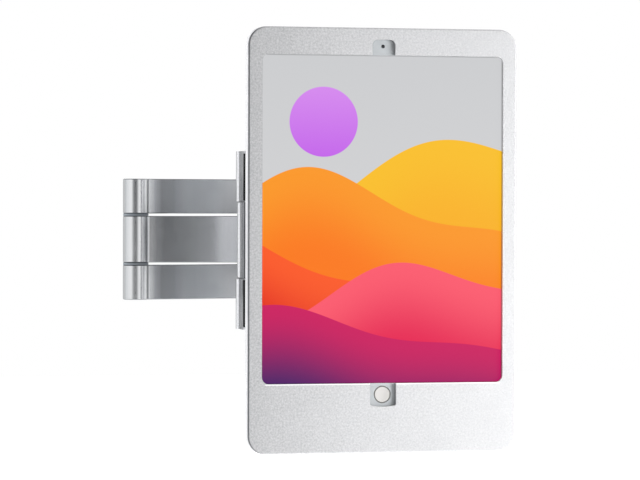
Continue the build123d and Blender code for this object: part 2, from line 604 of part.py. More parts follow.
def make_standoffs():
    """Four threaded posts between the enclosure's back and the saddle."""
    posts = []
    for x, z in corners(SCREEN_HOLE_SPACING, SCREEN_HOLE_SPACING):
        post = rod(STANDOFF_DIAMETER / 2, enclosure_depth, saddle_web_front, x, z)
        post -= rod(SCREEN_SCREW_DIAMETER / 2 + SCREW_FIT,
                    enclosure_depth + STANDOFF_SOLID_END, saddle_web_front + 1, x, z)
        posts.append(post)
    return Compound(children=posts)


def make_edge_gaskets():
    """Rubber strips that close the step between the tray's rolled edge and each tab of the saddle."""
    tray_form = make_tray_block()
    tab_half = (SADDLE_TAB_HEIGHT - EDGE_GASKET_GAP) / 2
    end_low = (SADDLE_TAB_HEIGHT + EDGE_GASKET_GAP) / 2
    end_high = SADDLE_HEIGHT / 2 - EDGE_GASKET_END_INSET
    strips = []
    for side in (-1, 1):
        for low, high, setback in (
                (-end_high, -end_low, 0), (-tab_half, tab_half, SADDLE_TAB_SETBACK), (end_low, end_high, 0)):
            middle = side * (half_width - setback - EDGE_GASKET_WIDTH / 2)
            outline = Pos(middle, (low + high) / 2) * Rectangle(EDGE_GASKET_WIDTH, high - low)
            strips.append(slab(outline, enclosure_depth - EDGE_GASKET_LIP, saddle_front) - tray_form)
    return Compound(children=strips)


# Enclosure

def enclosure_outline(inset):
    """The enclosure's rounded outline, drawn in by an inset."""
    return RectangleRounded(
        2 * (half_width - inset), 2 * (half_height - inset), ENCLOSURE_CORNER - inset)


def make_tray_block():
    """Outer form of the rear tray with its rolled back edge."""
    block = slab(enclosure_outline(0), COVER_THICKNESS + COVER_SEAM, enclosure_depth)
    return fillet(block.faces().sort_by(Axis.Y)[-1].edges(), ENCLOSURE_REAR_RADIUS)


def make_rear_tray():
    """Deep-drawn tray with a rolled back edge, screw holes and a cable slot."""
    cavity = slab(enclosure_outline(TRAY_WALL), 0, tray_floor)
    cavity = chamfer(cavity.faces().sort_by(Axis.Y)[-1].edges(), TRAY_WALL)
    tray = make_tray_block() - cavity
    for x in (-post_x, post_x):
        tray -= rod(COVER_SCREW_DIAMETER / 2 + SCREW_FIT, tray_floor - 1, enclosure_depth + 1, x, post_z)
    slot = SlotOverall(CABLE_SLOT_WIDTH, CABLE_SLOT_HEIGHT)
    return tray - slab(slot, tray_floor - 1, enclosure_depth + 1, post_z)


def camera_cut():
    """Cut-out above the window: round upper corners and a slightly crowned top."""
    half = CAMERA_CUT_WIDTH / 2
    top = window_top + CAMERA_CUT_HEIGHT
    outline = [
        Line((-half, window_top - 1), (-half, top)),
        ThreePointArc((-half, top), (0, top + CAMERA_CUT_CROWN), (half, top)),
        Line((half, top), (half, window_top - 1)),
        Line((half, window_top - 1), (-half, window_top - 1)),
    ]
    face = make_face(outline)
    return fillet(face.vertices().group_by(Axis.Y)[-1], CAMERA_CUT_CORNER)


def button_cut():
    """Cut-out below the window: straight sides and a bulging lower edge."""
    half = BUTTON_CUT_WIDTH / 2
    low = window_bottom - BUTTON_CUT_HEIGHT
    outline = [
        Line((-half, window_bottom + 1), (-half, low)),
        ThreePointArc((-half, low), (0, low - BUTTON_CUT_BULGE), (half, low)),
        Line((half, low), (half, window_bottom + 1)),
        Line((half, window_bottom + 1), (-half, window_bottom + 1)),
    ]
    face = make_face(outline)
    return fillet(face.vertices().group_by(Axis.Y)[0], BUTTON_CUT_CORNER)


def window_outline():
    """The window with its camera and button cut-outs."""
    window = Pos(0, window_z) * RectangleRounded(window_width, window_height, WINDOW_CORNER)
    return window + camera_cut() + button_cut()


def make_front_cover():
    """Full-face cover plate with side skirts inside the tray and two screw posts behind the chin."""
    cover = slab(enclosure_outline(0), 0, COVER_THICKNESS)
    cover = fillet(cover.faces().sort_by(Axis.Y)[0].edges(), COVER_EDGE_RADIUS)
    cover -= slab(window_outline(), -1, COVER_THICKNESS + 1)
    skirt_x = half_width - TRAY_WALL - COVER_SEAM - COVER_SKIRT_WALL / 2
    skirt_height = 2 * (half_height - ENCLOSURE_CORNER)
    bore_end = enclosure_depth - COVER_SCREW_LENGTH - COVER_SCREW_SPARE
    for side in (-1, 1):
        skirt = Pos(side * skirt_x, 0) * Rectangle(COVER_SKIRT_WALL, skirt_height)
        cover += slab(skirt, COVER_THICKNESS, COVER_THICKNESS + COVER_SKIRT_DEPTH)
        cover += rod(COVER_POST_DIAMETER / 2, COVER_THICKNESS, tray_floor, side * post_x, post_z)
        cover -= rod(COVER_SCREW_DIAMETER / 2 + SCREW_FIT, bore_end, tray_floor + 1, side * post_x, post_z)
    return cover


def make_cover_screws():
    """Two security screws from the back of the tray into the cover's posts."""
    screws = []
    for x in (-post_x, post_x):
        head = rod(COVER_SCREW_HEAD_DIAMETER / 2, enclosure_depth,
                   enclosure_depth + COVER_SCREW_HEAD_HEIGHT, x, post_z)
        head = chamfer(head.edges().group_by(Axis.Y)[-1], COVER_SCREW_CHAMFER)
        shank = rod(COVER_SCREW_DIAMETER / 2, enclosure_depth - COVER_SCREW_LENGTH,
                    enclosure_depth, x, post_z)
        screws.append(head + shank)
    return Compound(children=screws)


def make_cover_gasket():
    """Thin foam ring between the cover and the tablet's glass, clear of the cut-outs."""
    side = FRONT_PAD_INSET
    window = Pos(0, window_z) * RectangleRounded(
        window_width + 2 * side, window_height + 2 * side, WINDOW_CORNER + side)
    camera = Pos(0, window_top + CAMERA_CUT_HEIGHT / 2) * Rectangle(
        CAMERA_CUT_WIDTH + 2 * side, CAMERA_CUT_HEIGHT + 4 * side)
    button = Pos(0, window_bottom - BUTTON_CUT_HEIGHT / 2) * Rectangle(
        BUTTON_CUT_WIDTH + 2 * side, BUTTON_CUT_HEIGHT + 4 * side)
    return slab(tablet_outline(GLASS_INSET) - window - camera - button, COVER_THICKNESS, glass_depth)


# Tablet

def tablet_outline(inset):
    """The tablet's outline about the enclosure's middle, drawn in by an inset."""
    return Pos(0, tablet_z) * RectangleRounded(
        TABLET_WIDTH - 2 * inset, TABLET_HEIGHT - 2 * inset, TABLET_CORNER - inset)


def display_outline(extra=0.0):
    """Outline of the display panel."""
    height = TABLET_HEIGHT - DISPLAY_TOP_BORDER - DISPLAY_BOTTOM_BORDER
    middle = tablet_top - DISPLAY_TOP_BORDER - height / 2
    return Pos(0, middle) * RectangleRounded(
        DISPLAY_WIDTH + 2 * extra, height + 2 * extra, DISPLAY_CORNER + extra)


def make_tablet_body():
    """Aluminium case: rounded back edge, a rebate for the glass and a well for the home button."""
    body = slab(tablet_outline(0), glass_depth, tablet_back)
    body = fillet(body.faces().sort_by(Axis.Y)[-1].edges(), TABLET_EDGE_RADIUS)
    body -= slab(tablet_outline(GLASS_INSET), glass_depth - 1, glass_depth + GLASS_THICKNESS)
    well = glass_depth + HOME_THICKNESS + HOME_TRAVEL + HOME_WELL_SPARE
    body -= rod(home_hole_radius, glass_depth, well, 0, home_z)
    body -= rod(CAMERA_DIAMETER / 2 + SCREW_FIT, glass_depth, glass_depth + CAMERA_DEPTH, 0, camera_z)
    return body


def make_tablet_bezel():
    """White border of the front glass, with holes for the display, the camera and the home button."""
    glass = tablet_outline(GLASS_INSET + GLASS_SEAM) - display_outline(DISPLAY_SEAM)
    glass -= Pos(0, home_z) * Circle(home_hole_radius + SEAT_FIT)
    glass -= Pos(0, camera_z) * Circle(CAMERA_DIAMETER / 2 + SCREW_FIT)
    return slab(glass, glass_depth, glass_depth + GLASS_THICKNESS)


def make_tablet_display():
    """Display panel, flush with the border."""
    return slab(display_outline(), glass_depth, glass_depth + GLASS_THICKNESS)


def make_camera_lens():
    """Round camera window in the border."""
    return rod(CAMERA_DIAMETER / 2, glass_depth, glass_depth + CAMERA_DEPTH, 0, camera_z)


def make_home_ring():
    """Home button's metal ring: a chamfered band round the button."""
    inner = home_radius + RUN_FIT
    outer = home_hole_radius
    ring = Circle(outer) - Circle(inner)
    front = glass_depth - HOME_RING_PROUD
    solid = slab(Pos(0, home_z) * ring, front, glass_depth + HOME_THICKNESS)
    return chamfer(solid.edges().group_by(Axis.Y)[0].filter_by(GeomType.CIRCLE), HOME_RING_PROUD)


def make_home_button():
    """Button disc with a shallow dish in its face."""
    disc = rod(home_radius, glass_depth, glass_depth + HOME_THICKNESS, 0, home_z)
    dish_radius = ((home_radius - HOME_DISH_RIM) ** 2 + HOME_DISH ** 2) / (2 * HOME_DISH)
    centre = (head_x, front_y + glass_depth + HOME_DISH - dish_radius, home_z)
    return disc - Pos(*centre) * Sphere(dish_radius)


def make_side_pads():
    """Foam blocks between the tablet's sides and the tray's walls."""
    pads = []
    gap_inner = TABLET_WIDTH / 2
    gap_outer = half_width - TRAY_WALL - COVER_SEAM - COVER_SKIRT_WALL
    for side in (-1, 1):
        for offset in (-SIDE_PAD_OFFSET, SIDE_PAD_OFFSET):
            middle = side * (gap_inner + gap_outer) / 2
            outline = Pos(middle, tablet_z + offset) * Rectangle(gap_outer - gap_inner, SIDE_PAD_LENGTH)
            pads.append(slab(outline, glass_depth + SIDE_PAD_FRONT, tablet_back - TABLET_EDGE_RADIUS))
    return Compound(children=pads)


def make_back_pad():
    """Thin foam sheet between the tablet's back and the tray's floor."""
    return slab(tablet_outline(BACK_PAD_INSET), tablet_back, tray_floor)


save(make_wall_plate(), "wall_plate")
save(make_wall_knuckle(), "wall_knuckle")
save(make_knuckle_screws(), "wall_knuckle_screws")

upper_band, lower_band = make_rear_bands()
save(upper_band, "rear_arm_upper")
save(lower_band, "rear_arm_lower")
save(make_front_arm(), "front_arm")

for place, axis in (("wall", wall_axis), ("elbow", elbow_axis)):
    names = ("pin", "pin_nut", "cap_top", "cap_bottom", "washer_upper", "washer_lower", "bushing")
    for name, piece in zip(names, make_pivot(axis)):
        save(piece, f"{place}_{name}")

save(make_swivel_yoke(), "swivel_yoke")
head_pin, head_nut = make_head_pin()
save(head_pin, "head_pin")
save(head_nut, "head_pin_nut")
save(thrust_washer(washer_bottom, head_axis), "head_washer_upper")
save(thrust_washer(-outer_bottom, head_axis), "head_washer_lower")
save(make_bushing(head_axis), "head_bushing")

tilt_bolt, tilt_nut, tilt_washers = make_tilt_bolt()
save(tilt_bolt, "tilt_bolt")
save(tilt_nut, "tilt_nut")
save(tilt_washers, "tilt_washers")
save(make_tilt_bracket(), "tilt_bracket")

rotation_bolt, rotation_nut, rotation_washer = make_rotation_bolt()
save(rotation_bolt, "rotation_bolt")
save(rotation_nut, "rotation_nut")
save(rotation_washer, "rotation_washer")

save(make_screen_plate(), "screen_plate")
save(make_screen_screws(), "screen_plate_screws")
save(make_saddle(), "saddle")
save(make_standoffs(), "standoffs")
save(make_edge_gaskets(), "edge_gaskets")

save(make_rear_tray(), "rear_tray")
save(make_front_cover(), "front_cover")
save(make_cover_screws(), "cover_screws")
save(make_cover_gasket(), "cover_gasket")

save(make_tablet_body(), "tablet_body")
save(make_tablet_bezel(), "tablet_bezel")
save(make_tablet_display(), "tablet_display")
save(make_camera_lens(), "camera_lens")
save(make_home_ring(), "home_button_ring")
save(make_home_button(), "home_button")
save(make_side_pads(), "side_pads")
save(make_back_pad(), "back_pad")
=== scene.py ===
"""Looks of a folding wall arm that carries a framed tablet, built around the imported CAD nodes."""

import logging
import math
from dataclasses import dataclass, field
from enum import Enum

import bmesh
import bpy
import numpy as np
from mathutils import Matrix, Vector


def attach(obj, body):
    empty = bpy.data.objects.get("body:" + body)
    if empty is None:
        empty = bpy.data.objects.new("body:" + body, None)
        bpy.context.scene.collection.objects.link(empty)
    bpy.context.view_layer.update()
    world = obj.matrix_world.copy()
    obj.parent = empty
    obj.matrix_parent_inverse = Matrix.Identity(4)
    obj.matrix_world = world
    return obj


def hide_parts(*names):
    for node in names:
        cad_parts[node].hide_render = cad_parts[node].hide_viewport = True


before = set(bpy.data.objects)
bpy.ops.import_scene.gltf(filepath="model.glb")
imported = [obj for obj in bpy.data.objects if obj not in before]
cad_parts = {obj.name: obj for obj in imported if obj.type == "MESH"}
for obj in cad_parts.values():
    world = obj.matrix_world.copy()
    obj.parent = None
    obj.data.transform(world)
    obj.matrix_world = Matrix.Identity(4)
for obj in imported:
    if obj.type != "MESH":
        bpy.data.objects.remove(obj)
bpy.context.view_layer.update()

logging.basicConfig(level=logging.INFO, format="%(name)s: %(message)s")
LOG = logging.getLogger("tablet_wall_mount")

MM = 0.001
SCREEN_X = 4.649  # middle of the enclosure in mm
FRONT_Y = -155.092  # face of the enclosure in mm
FACE_LEFT, FACE_RIGHT = -86.0, 95.0  # sides of that face in mm
SHARP_DEG = 28.0  # edges that bend by more stay sharp
KNURL_RIDGES, KNURL_DEPTH = 36, 0.18  # ridges round a knurled head, and their depth in mm
EDGE_SLOPE = 2.5  # rise per mm of the masks in the lit picture
GLASS_PRINT = "#8f9294"
WHITE = (1.0, 1.0, 1.0, 1.0)
NODES: dict[str, bpy.types.Object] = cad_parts

Material = bpy.types.Material
Tree = bpy.types.NodeTree
Socket = bpy.types.NodeSocket
Stops = tuple[tuple[float, str], ...]
Surface = tuple[np.ndarray, list[tuple[int, ...]]]  # points in metres and faces of one closed surface


# Colours, nodes and meshes


def linear(code: str) -> tuple[float, float, float, float]:
    """Turn an sRGB hex colour into linear light.

    Args:
        code: Colour such as "#c8c8ca".

    Returns:
        Linear red, green and blue with an alpha of one.
    """
    values = [int(code[i:i + 2], 16) / 255 for i in (1, 3, 5)]
    return (*(v / 12.92 if v <= 0.04045 else ((v + 0.055) / 1.055) ** 2.4 for v in values), 1.0)


def wire(tree: Tree, node: bpy.types.Node, links: dict) -> None:
    """Link a node's inputs, or set their values.

    Args:
        tree: The node's tree.
        node: The node.
        links: Socket name or number to an output socket, or to a plain value.
    """
    for name, value in links.items():
        if isinstance(value, Socket):
            tree.links.new(value, node.inputs[name])
        else:
            node.inputs[name].default_value = value


def add_node(tree: Tree, kind: str, links: dict | None = None, **settings) -> bpy.types.Node:
    """Add one shader node.

    Args:
        tree: Node tree that takes the node.
        kind: Type name without its "ShaderNode" start.
        links: Links and values of its inputs.
        **settings: Properties of the node itself.

    Returns:
        The new node.
    """
    node = tree.nodes.new("ShaderNode" + kind)
    for name, value in settings.items():
        setattr(node, name, value)
    wire(tree, node, links or {})
    return node


def new_material(name: str) -> tuple[Material, Tree, bpy.types.Node]:
    """Make a material with one Principled shader.

    Args:
        name: The material's name.

    Returns:
        The material, its node tree and its Principled node.
    """
    material = bpy.data.materials.new(name)
    material.use_nodes = True
    tree = material.node_tree
    return material, tree, next(n for n in tree.nodes if n.type == "BSDF_PRINCIPLED")


def object_place(tree: Tree, scale: tuple[float, float, float] = (1.0, 1.0, 1.0),
                 shift: tuple[float, float, float] = (0.0, 0.0, 0.0)) -> Socket:
    """Give the object coordinates in metres, scaled and shifted.

    Args:
        tree: Node tree that takes the nodes.
        scale: Factor of each axis.
        shift: Offset added after the scale.

    Returns:
        Vector output.
    """
    place = add_node(tree, "TexCoord").outputs["Object"]
    return add_node(tree, "Mapping", {"Vector": place, "Scale": scale, "Location": shift}).outputs["Vector"]


def math_of(tree: Tree, operation: str, *values, clamp: bool = False) -> Socket:
    """Combine values with one Math node.

    Args:
        tree: Node tree that takes the node.
        operation: Blender's name of the operation.
        *values: Sockets or numbers, in order.
        clamp: Whether the result stays between zero and one.

    Returns:
        Value output.
    """
    return add_node(tree, "Math", dict(enumerate(values)), operation=operation, use_clamp=clamp).outputs[0]


def line_of(tree: Tree, value: Socket, slope, offset, clamp: bool = False) -> Socket:
    """Give slope times value plus offset, where slope and offset are numbers or sockets."""
    return math_of(tree, "MULTIPLY_ADD", value, slope, offset, clamp=clamp)


def ramp_of(tree: Tree, factor: Socket, stops: Stops, mode: str = "LINEAR") -> Socket:
    """Turn a factor into a colour along given stops.

    Args:
        tree: Node tree that takes the node.
        factor: Value from zero to one.
        stops: Position and hex colour of each stop, in order.
        mode: Interpolation between stops.

    Returns:
        Colour output.
    """
    node = add_node(tree, "ValToRGB", {"Fac": factor})
    node.color_ramp.interpolation = mode
    elements = node.color_ramp.elements
    while len(elements) < len(stops):
        elements.new(0.5)
    for element, (position, code) in zip(elements, stops):
        element.position = position
        element.color = linear(code)
    return node.outputs["Color"]


def blend_of(tree: Tree, factor, low, high, blend: str = "MIX") -> Socket:
    """Mix two colours.

    Args:
        tree: Node tree that takes the node.
        factor: Share of the second colour.
        low: First colour or socket.
        high: Second colour or socket.
        blend: Blend type.

    Returns:
        Colour output.
    """
    return add_node(tree, "Mix", {0: factor, 6: low, 7: high}, data_type="RGBA", blend_type=blend).outputs[2]


def tones_of(tree: Tree, factor: Socket, low: str, high: str) -> Socket:
    """Mix two hex colours by a factor."""
    return blend_of(tree, factor, linear(low), linear(high))


def bump_of(tree: Tree, height: Socket, depth_mm: float, strength: float) -> Socket:
    """Turn a height into a normal.

    Args:
        tree: Node tree that takes the node.
        height: Height from zero to one.
        depth_mm: Real depth of the relief in millimetres.
        strength: Share of the relief that is used.

    Returns:
        Normal output.
    """
    links = {"Height": height, "Distance": depth_mm * MM, "Strength": strength}
    return add_node(tree, "Bump", links).outputs["Normal"]


def noise_of(tree: Tree, size_mm: float, detail: float = 2.0, **links) -> Socket:
    """Give a soft noise from zero to one over the object coordinates.

    Args:
        tree: Node tree that takes the nodes.
        size_mm: Size of its features in millimetres.
        detail: Layers of finer noise.
        **links: Values of the noise node's other sockets.

    Returns:
        Value output.
    """
    inputs = {"Vector": object_place(tree), "Scale": 1 / (size_mm * MM), "Detail": detail, **links}
    return add_node(tree, "TexNoise", inputs).outputs["Fac"]


def direction(tree: Tree) -> bpy.types.bpy_prop_collection:
    """Split the surface's direction in the object's own frame into its outputs X, Y and Z."""
    return add_node(tree, "SeparateXYZ", {"Vector": add_node(tree, "TexCoord").outputs["Normal"]}).outputs


def millimetres(tree: Tree, x: float = 0.0, z: float = 0.0) -> bpy.types.bpy_prop_collection:
    """Split the object coordinates into outputs X, Y and Z in millimetres from a given place."""
    place = object_place(tree, (1 / MM, 1 / MM, 1 / MM), (-x, 0.0, -z))
    return add_node(tree, "SeparateXYZ", {"Vector": place}).outputs


def edge_of(tree: Tree, inside: Socket) -> Socket:
    """Turn a distance inside an outline, in millimetres, into a mask with a soft edge."""
    return line_of(tree, inside, EDGE_SLOPE, 0.5, clamp=True)


def share_along(tree: Tree, low: float, high: float) -> Socket:
    """Measure how far across the wall a point lies: zero at low and one at high, both in millimetres."""
    span = high - low
    return line_of(tree, millimetres(tree)["X"], 1 / span, -low / span, clamp=True)


def painted_shading_along(tree: Tree, stops: Stops) -> Socket:
    """Give painted light and shade across the wall, from stops in millimetres."""
    low, high = stops[0][0], stops[-1][0]
    share = share_along(tree, low, high)
    return ramp_of(tree, share, tuple(((place - low) / (high - low), code) for place, code in stops))


# Finishes


@dataclass(frozen=True)
class PowderCoat:
    """Baked powder paint with metal flake: an orange-peel relief and a sparkle of single grains.

    Most of the light comes from the flakes, the rest from the binder of IOR 1.5. The real grain of about 0.4 mm
    is finer than a pixel, so it is drawn at the size given here. Painted shade darkens the front edge, most on the
    left. lip gives the middle, half width and top of a painted highlight line in millimetres; the flank colour is
    painted shade on the surfaces that face left or right; the shading stops paint light and shade across the wall;
    and the grain's contrast falls from left to right as a painted glare.
    """

    name: str = "silver_powder_coat"
    base: str = "#cbcbcc"
    shade: str = "#a4a5a7"
    painted_edge_shade: str = "#5a5b5e"
    grain_mm: float = 1.25
    contrast: float = 2.1
    relief_mm: float = 0.05
    metallic: float = 0.7
    roughness: float = 0.5
    painted_flank_shade: str = ""
    lip: tuple[float, float, float] | None = None
    painted_shading: Stops = ()
    painted_glare_fade: tuple[float, float] = (1.0, 1.0)
    flake_share: float = 0.7
    cloud_mm: float = 14.0
    cloud_share: float = 0.2
    glint: float = 0.2

    def build(self) -> Material:
        """Build the material."""
        material, tree, shader = new_material(self.name)
        grain = noise_of(tree, self.grain_mm, 3.0, Roughness=0.7)
        flake = add_node(tree, "TexVoronoi", {
            "Vector": object_place(tree), "Scale": 1 / (self.grain_mm * self.flake_share * MM)})
        # The grain's contrast falls from left to right across the face: a painted glare where the light is
        # brightest.
        near, far = (self.contrast * share for share in self.painted_glare_fade)
        amount = line_of(tree, share_along(tree, FACE_LEFT, FACE_RIGHT), far - near, near)
        speck = line_of(tree, math_of(tree, "SUBTRACT", grain, 0.5), amount, 0.5)
        mix = line_of(tree, noise_of(tree, self.cloud_mm), self.cloud_share, speck, clamp=True)
        colour = tones_of(tree, mix, self.shade, self.base)
        # Painted light and shade across the wall.
        if self.painted_shading:
            colour = blend_of(tree, 1.0, colour, painted_shading_along(tree, self.painted_shading), "MULTIPLY")
        # Painted shade on the front edge, strongest on the left side.
        colour = blend_of(tree, self.painted_arris_shade_mask(tree), colour, linear(self.painted_edge_shade))
        # Painted highlight line under the window.
        if self.lip:
            colour = blend_of(tree, self.painted_highlight_mask(tree), colour, WHITE)
        # Painted shade on the faces that look left or right.
        if self.painted_flank_shade:
            colour = blend_of(tree, self.painted_flank_shade_mask(tree), colour, linear(self.painted_flank_shade))
        rough = line_of(tree, flake.outputs["Distance"], self.glint, self.roughness - 0.35 * self.glint)
        wire(tree, shader, {"Base Color": colour, "Roughness": rough, "Metallic": self.metallic,
                            "Normal": bump_of(tree, grain, self.relief_mm, 0.4)})
        return material

    @staticmethod
    def painted_arris_shade_mask(tree: Tree) -> Socket:
        """Find the painted shade of the front edge from the surface's direction.

        The mask is the product of how far the surface faces forwards and how far it faces left, with weaker
        It is highest where both are equal, on the rounding between face and
        side. Half of a second, narrow mask is added where the side starts to turn to the back, also painted shade.

        Args:
            tree: Node tree that takes the nodes.

        Returns:
            Value output from zero to one.
        """
        up_share, down_share = 0.25, -0.2
        front_slope, front_start = 2.6, -0.25
        rear_turn, rear_slope, rear_share = 0.2, -6.5, 0.5
        axes = direction(tree)
        up, down = (math_of(tree, "MULTIPLY", axes["Z"], share) for share in (up_share, down_share))
        side = math_of(tree, "SUBTRACT", math_of(tree, "MAXIMUM", up, down), axes["X"])
        both = math_of(tree, "MULTIPLY", side, math_of(tree, "MULTIPLY", axes["Y"], -1.0), clamp=True)
        front = line_of(tree, both, front_slope, front_start, clamp=True)
        past = math_of(tree, "ABSOLUTE", math_of(tree, "SUBTRACT", axes["Y"], rear_turn))
        rear = math_of(tree, "MULTIPLY", line_of(tree, past, rear_slope, 1.0, clamp=True), side, clamp=True)
        return line_of(tree, rear, rear_share, front, clamp=True)

    def painted_highlight_mask(self, tree: Tree) -> Socket:
        """Find the painted highlight line under the window: a soft line 1 mm high, as wide as the window."""
        centre, half_width, top = self.lip
        line_below_top = 0.45
        parts = millimetres(tree, centre, top)
        across = math_of(tree, "ABSOLUTE", parts["X"])
        ends = line_of(tree, across, -1.0, half_width, clamp=True)
        below = math_of(tree, "ABSOLUTE", math_of(tree, "ADD", parts["Z"], line_below_top))
        line = line_of(tree, below, -2.0, 1.0, clamp=True)
        return math_of(tree, "MULTIPLY", line, ends)

    @staticmethod
    def painted_flank_shade_mask(tree: Tree) -> Socket:
        """Find the faces that take painted shade, those facing left or right: one where the direction is within 20
        degrees.
        """
        return line_of(tree, math_of(tree, "ABSOLUTE", direction(tree)["X"]), 16.0, -15.0, clamp=True)


@dataclass(frozen=True)
class SatinAnodised:
    """Extruded aluminium, satin anodised: soft broad reflections over faint upright die lines.

    The surface is darkened where it is seen at a slant and on the chamfers, a painted shade that gives round edges
    a thin darker line. The shading stops paint light and shade on the faces that look into the room, across the
    wall.
    """

    name: str = "satin_anodised_aluminium"
    base: str = "#eeeff0"
    shade: str = "#e2e3e4"
    line_mm: float = 1.7
    roughness: float = 0.21
    painted_edge_shade: str = "#75787b"
    painted_shading: Stops = ()
    lines_along: float = 4.0
    patch_mm: float = 9.0
    patch_rough: float = 0.06
    slant: tuple[float, float] = (1.75, -0.65)

    def build(self) -> Material:
        """Build the material."""
        material, tree, shader = new_material(self.name)
        across = 1 / (self.line_mm * MM)
        upright = object_place(tree, (across, across, self.lines_along))
        line = add_node(tree, "TexNoise", {"Vector": upright, "Scale": 1.0, "Detail": 2.0}).outputs["Fac"]
        colour = tones_of(tree, line, self.shade, self.base)
        # Painted light and shade across the wall on the faces that look into the room.
        if self.painted_shading:
            colour = blend_of(tree, self.painted_shading_mask(tree), colour, painted_shading_along(tree, self.painted_shading), "MULTIPLY")
        # Painted shade where the surface is seen at a slant, and on the chamfers.
        facing = add_node(tree, "LayerWeight", {"Blend": 0.5}).outputs["Facing"]
        painted_slant_shade = line_of(tree, facing, *self.slant, clamp=True)
        for mask in (painted_slant_shade, self.painted_chamfer_shade_mask(tree)):
            colour = blend_of(tree, mask, colour, linear(self.painted_edge_shade))
        rough = line_of(tree, noise_of(tree, self.patch_mm), self.patch_rough,
                        self.roughness - self.patch_rough / 2)
        wire(tree, shader, {"Base Color": colour, "Roughness": rough, "Metallic": 1.0,
                            "Normal": bump_of(tree, line, 0.01, 0.12)})
        return material

    @staticmethod
    def painted_chamfer_shade_mask(tree: Tree) -> Socket:
        """Find the chamfers, which take a painted shade: one where the surface tilts by half a right angle."""
        tilt = math_of(tree, "SUBTRACT", math_of(tree, "ABSOLUTE", direction(tree)["Z"]), 0.7)
        return line_of(tree, math_of(tree, "ABSOLUTE", tilt), -5.0, 1.0, clamp=True)

    @staticmethod
    def painted_shading_mask(tree: Tree) -> Socket:
        """Find the faces that take the painted shading, those facing the room: one where the direction is within 40
        degrees of the front.
        """
        return line_of(tree, direction(tree)["Y"], -4.0, -2.0, clamp=True)


@dataclass(frozen=True)
class ZincPlate:
    """Cold-headed steel, bright zinc plated: faint cloudiness in a cool bright metal."""

    name: str = "zinc_plated_steel"
    base: str = "#c9ccd0"
    shade: str = "#9fa3a8"
    roughness: float = 0.26
    cloud_mm: float = 3.0
    cloud_rough: float = 0.18

    def build(self) -> Material:
        """Build the material."""
        material, tree, shader = new_material(self.name)
        cloud = noise_of(tree, self.cloud_mm, 3.0)
        rough = line_of(tree, cloud, self.cloud_rough, self.roughness - self.cloud_rough / 2)
        wire(tree, shader, {
            "Base Color": tones_of(tree, cloud, self.shade, self.base), "Roughness": rough, "Metallic": 1.0})
        return material


@dataclass(frozen=True)
class MouldedPolymer:
    """Moulded nylon, rubber or foam: a matte body with a fine moulded grain."""

    name: str
    base: str
    shade: str
    grain_mm: float
    relief_mm: float
    roughness: float
    specular: float = 0.4

    def build(self) -> Material:
        """Build the material."""
        material, tree, shader = new_material(self.name)
        grain = noise_of(tree, self.grain_mm, 3.0)
        wire(tree, shader, {
            "Base Color": tones_of(tree, grain, self.shade, self.base), "Roughness": self.roughness,
            "Specular IOR Level": self.specular, "Normal": bump_of(tree, grain, self.relief_mm, 0.6)})
        return material


@dataclass(frozen=True)
class BackedGlass:
    """Float glass printed from behind: an even print under a polished face, IOR 1.52."""

    name: str = "white_printed_glass"
    base: str = GLASS_PRINT
    shade: str = "#888b8d"
    roughness: float = 0.1
    cloud_mm: float = 6.0

    def build(self) -> Material:
        """Build the material."""
        material, tree, shader = new_material(self.name)
        tint = tones_of(tree, noise_of(tree, self.cloud_mm), self.shade, self.base)
        wire(tree, shader, {"Base Color": tint, "Roughness": self.roughness, "IOR": 1.52})
        return material


@dataclass(frozen=True)
class Ridge:
    """One ridge of the lit picture: a level plus a long and a short sine wave over the width, in millimetres.

    length is the long wave's length over two pi, phase its start in radians, ripple the short wave's height, and
    low is the colour that the crest's colour deepens to.
    """

    level: float
    swing: float
    length: float
    phase: float
    ripple: float
    crest: str
    low: str
    deep_mm: float = 60.0

    def lay(self, tree: Tree, below: Socket, x: Socket, z: Socket) -> Socket:
        """Lay the ridge over the picture, from the colour below and the place in millimetres."""
        long_wave = math_of(tree, "SINE", line_of(tree, x, 1 / self.length, self.phase))
        short_wave = math_of(tree, "SINE", line_of(tree, x, 2.3 / self.length, self.phase * 1.7))
        height = line_of(tree, long_wave, self.swing, line_of(tree, short_wave, self.ripple, self.level))
        depth = math_of(tree, "SUBTRACT", height, z)
        share = math_of(tree, "MULTIPLY", depth, 1 / self.deep_mm, clamp=True)
        fill = ramp_of(tree, share, ((0.0, self.crest), (1.0, self.low)), "EASE")
        return blend_of(tree, edge_of(tree, depth), below, fill)


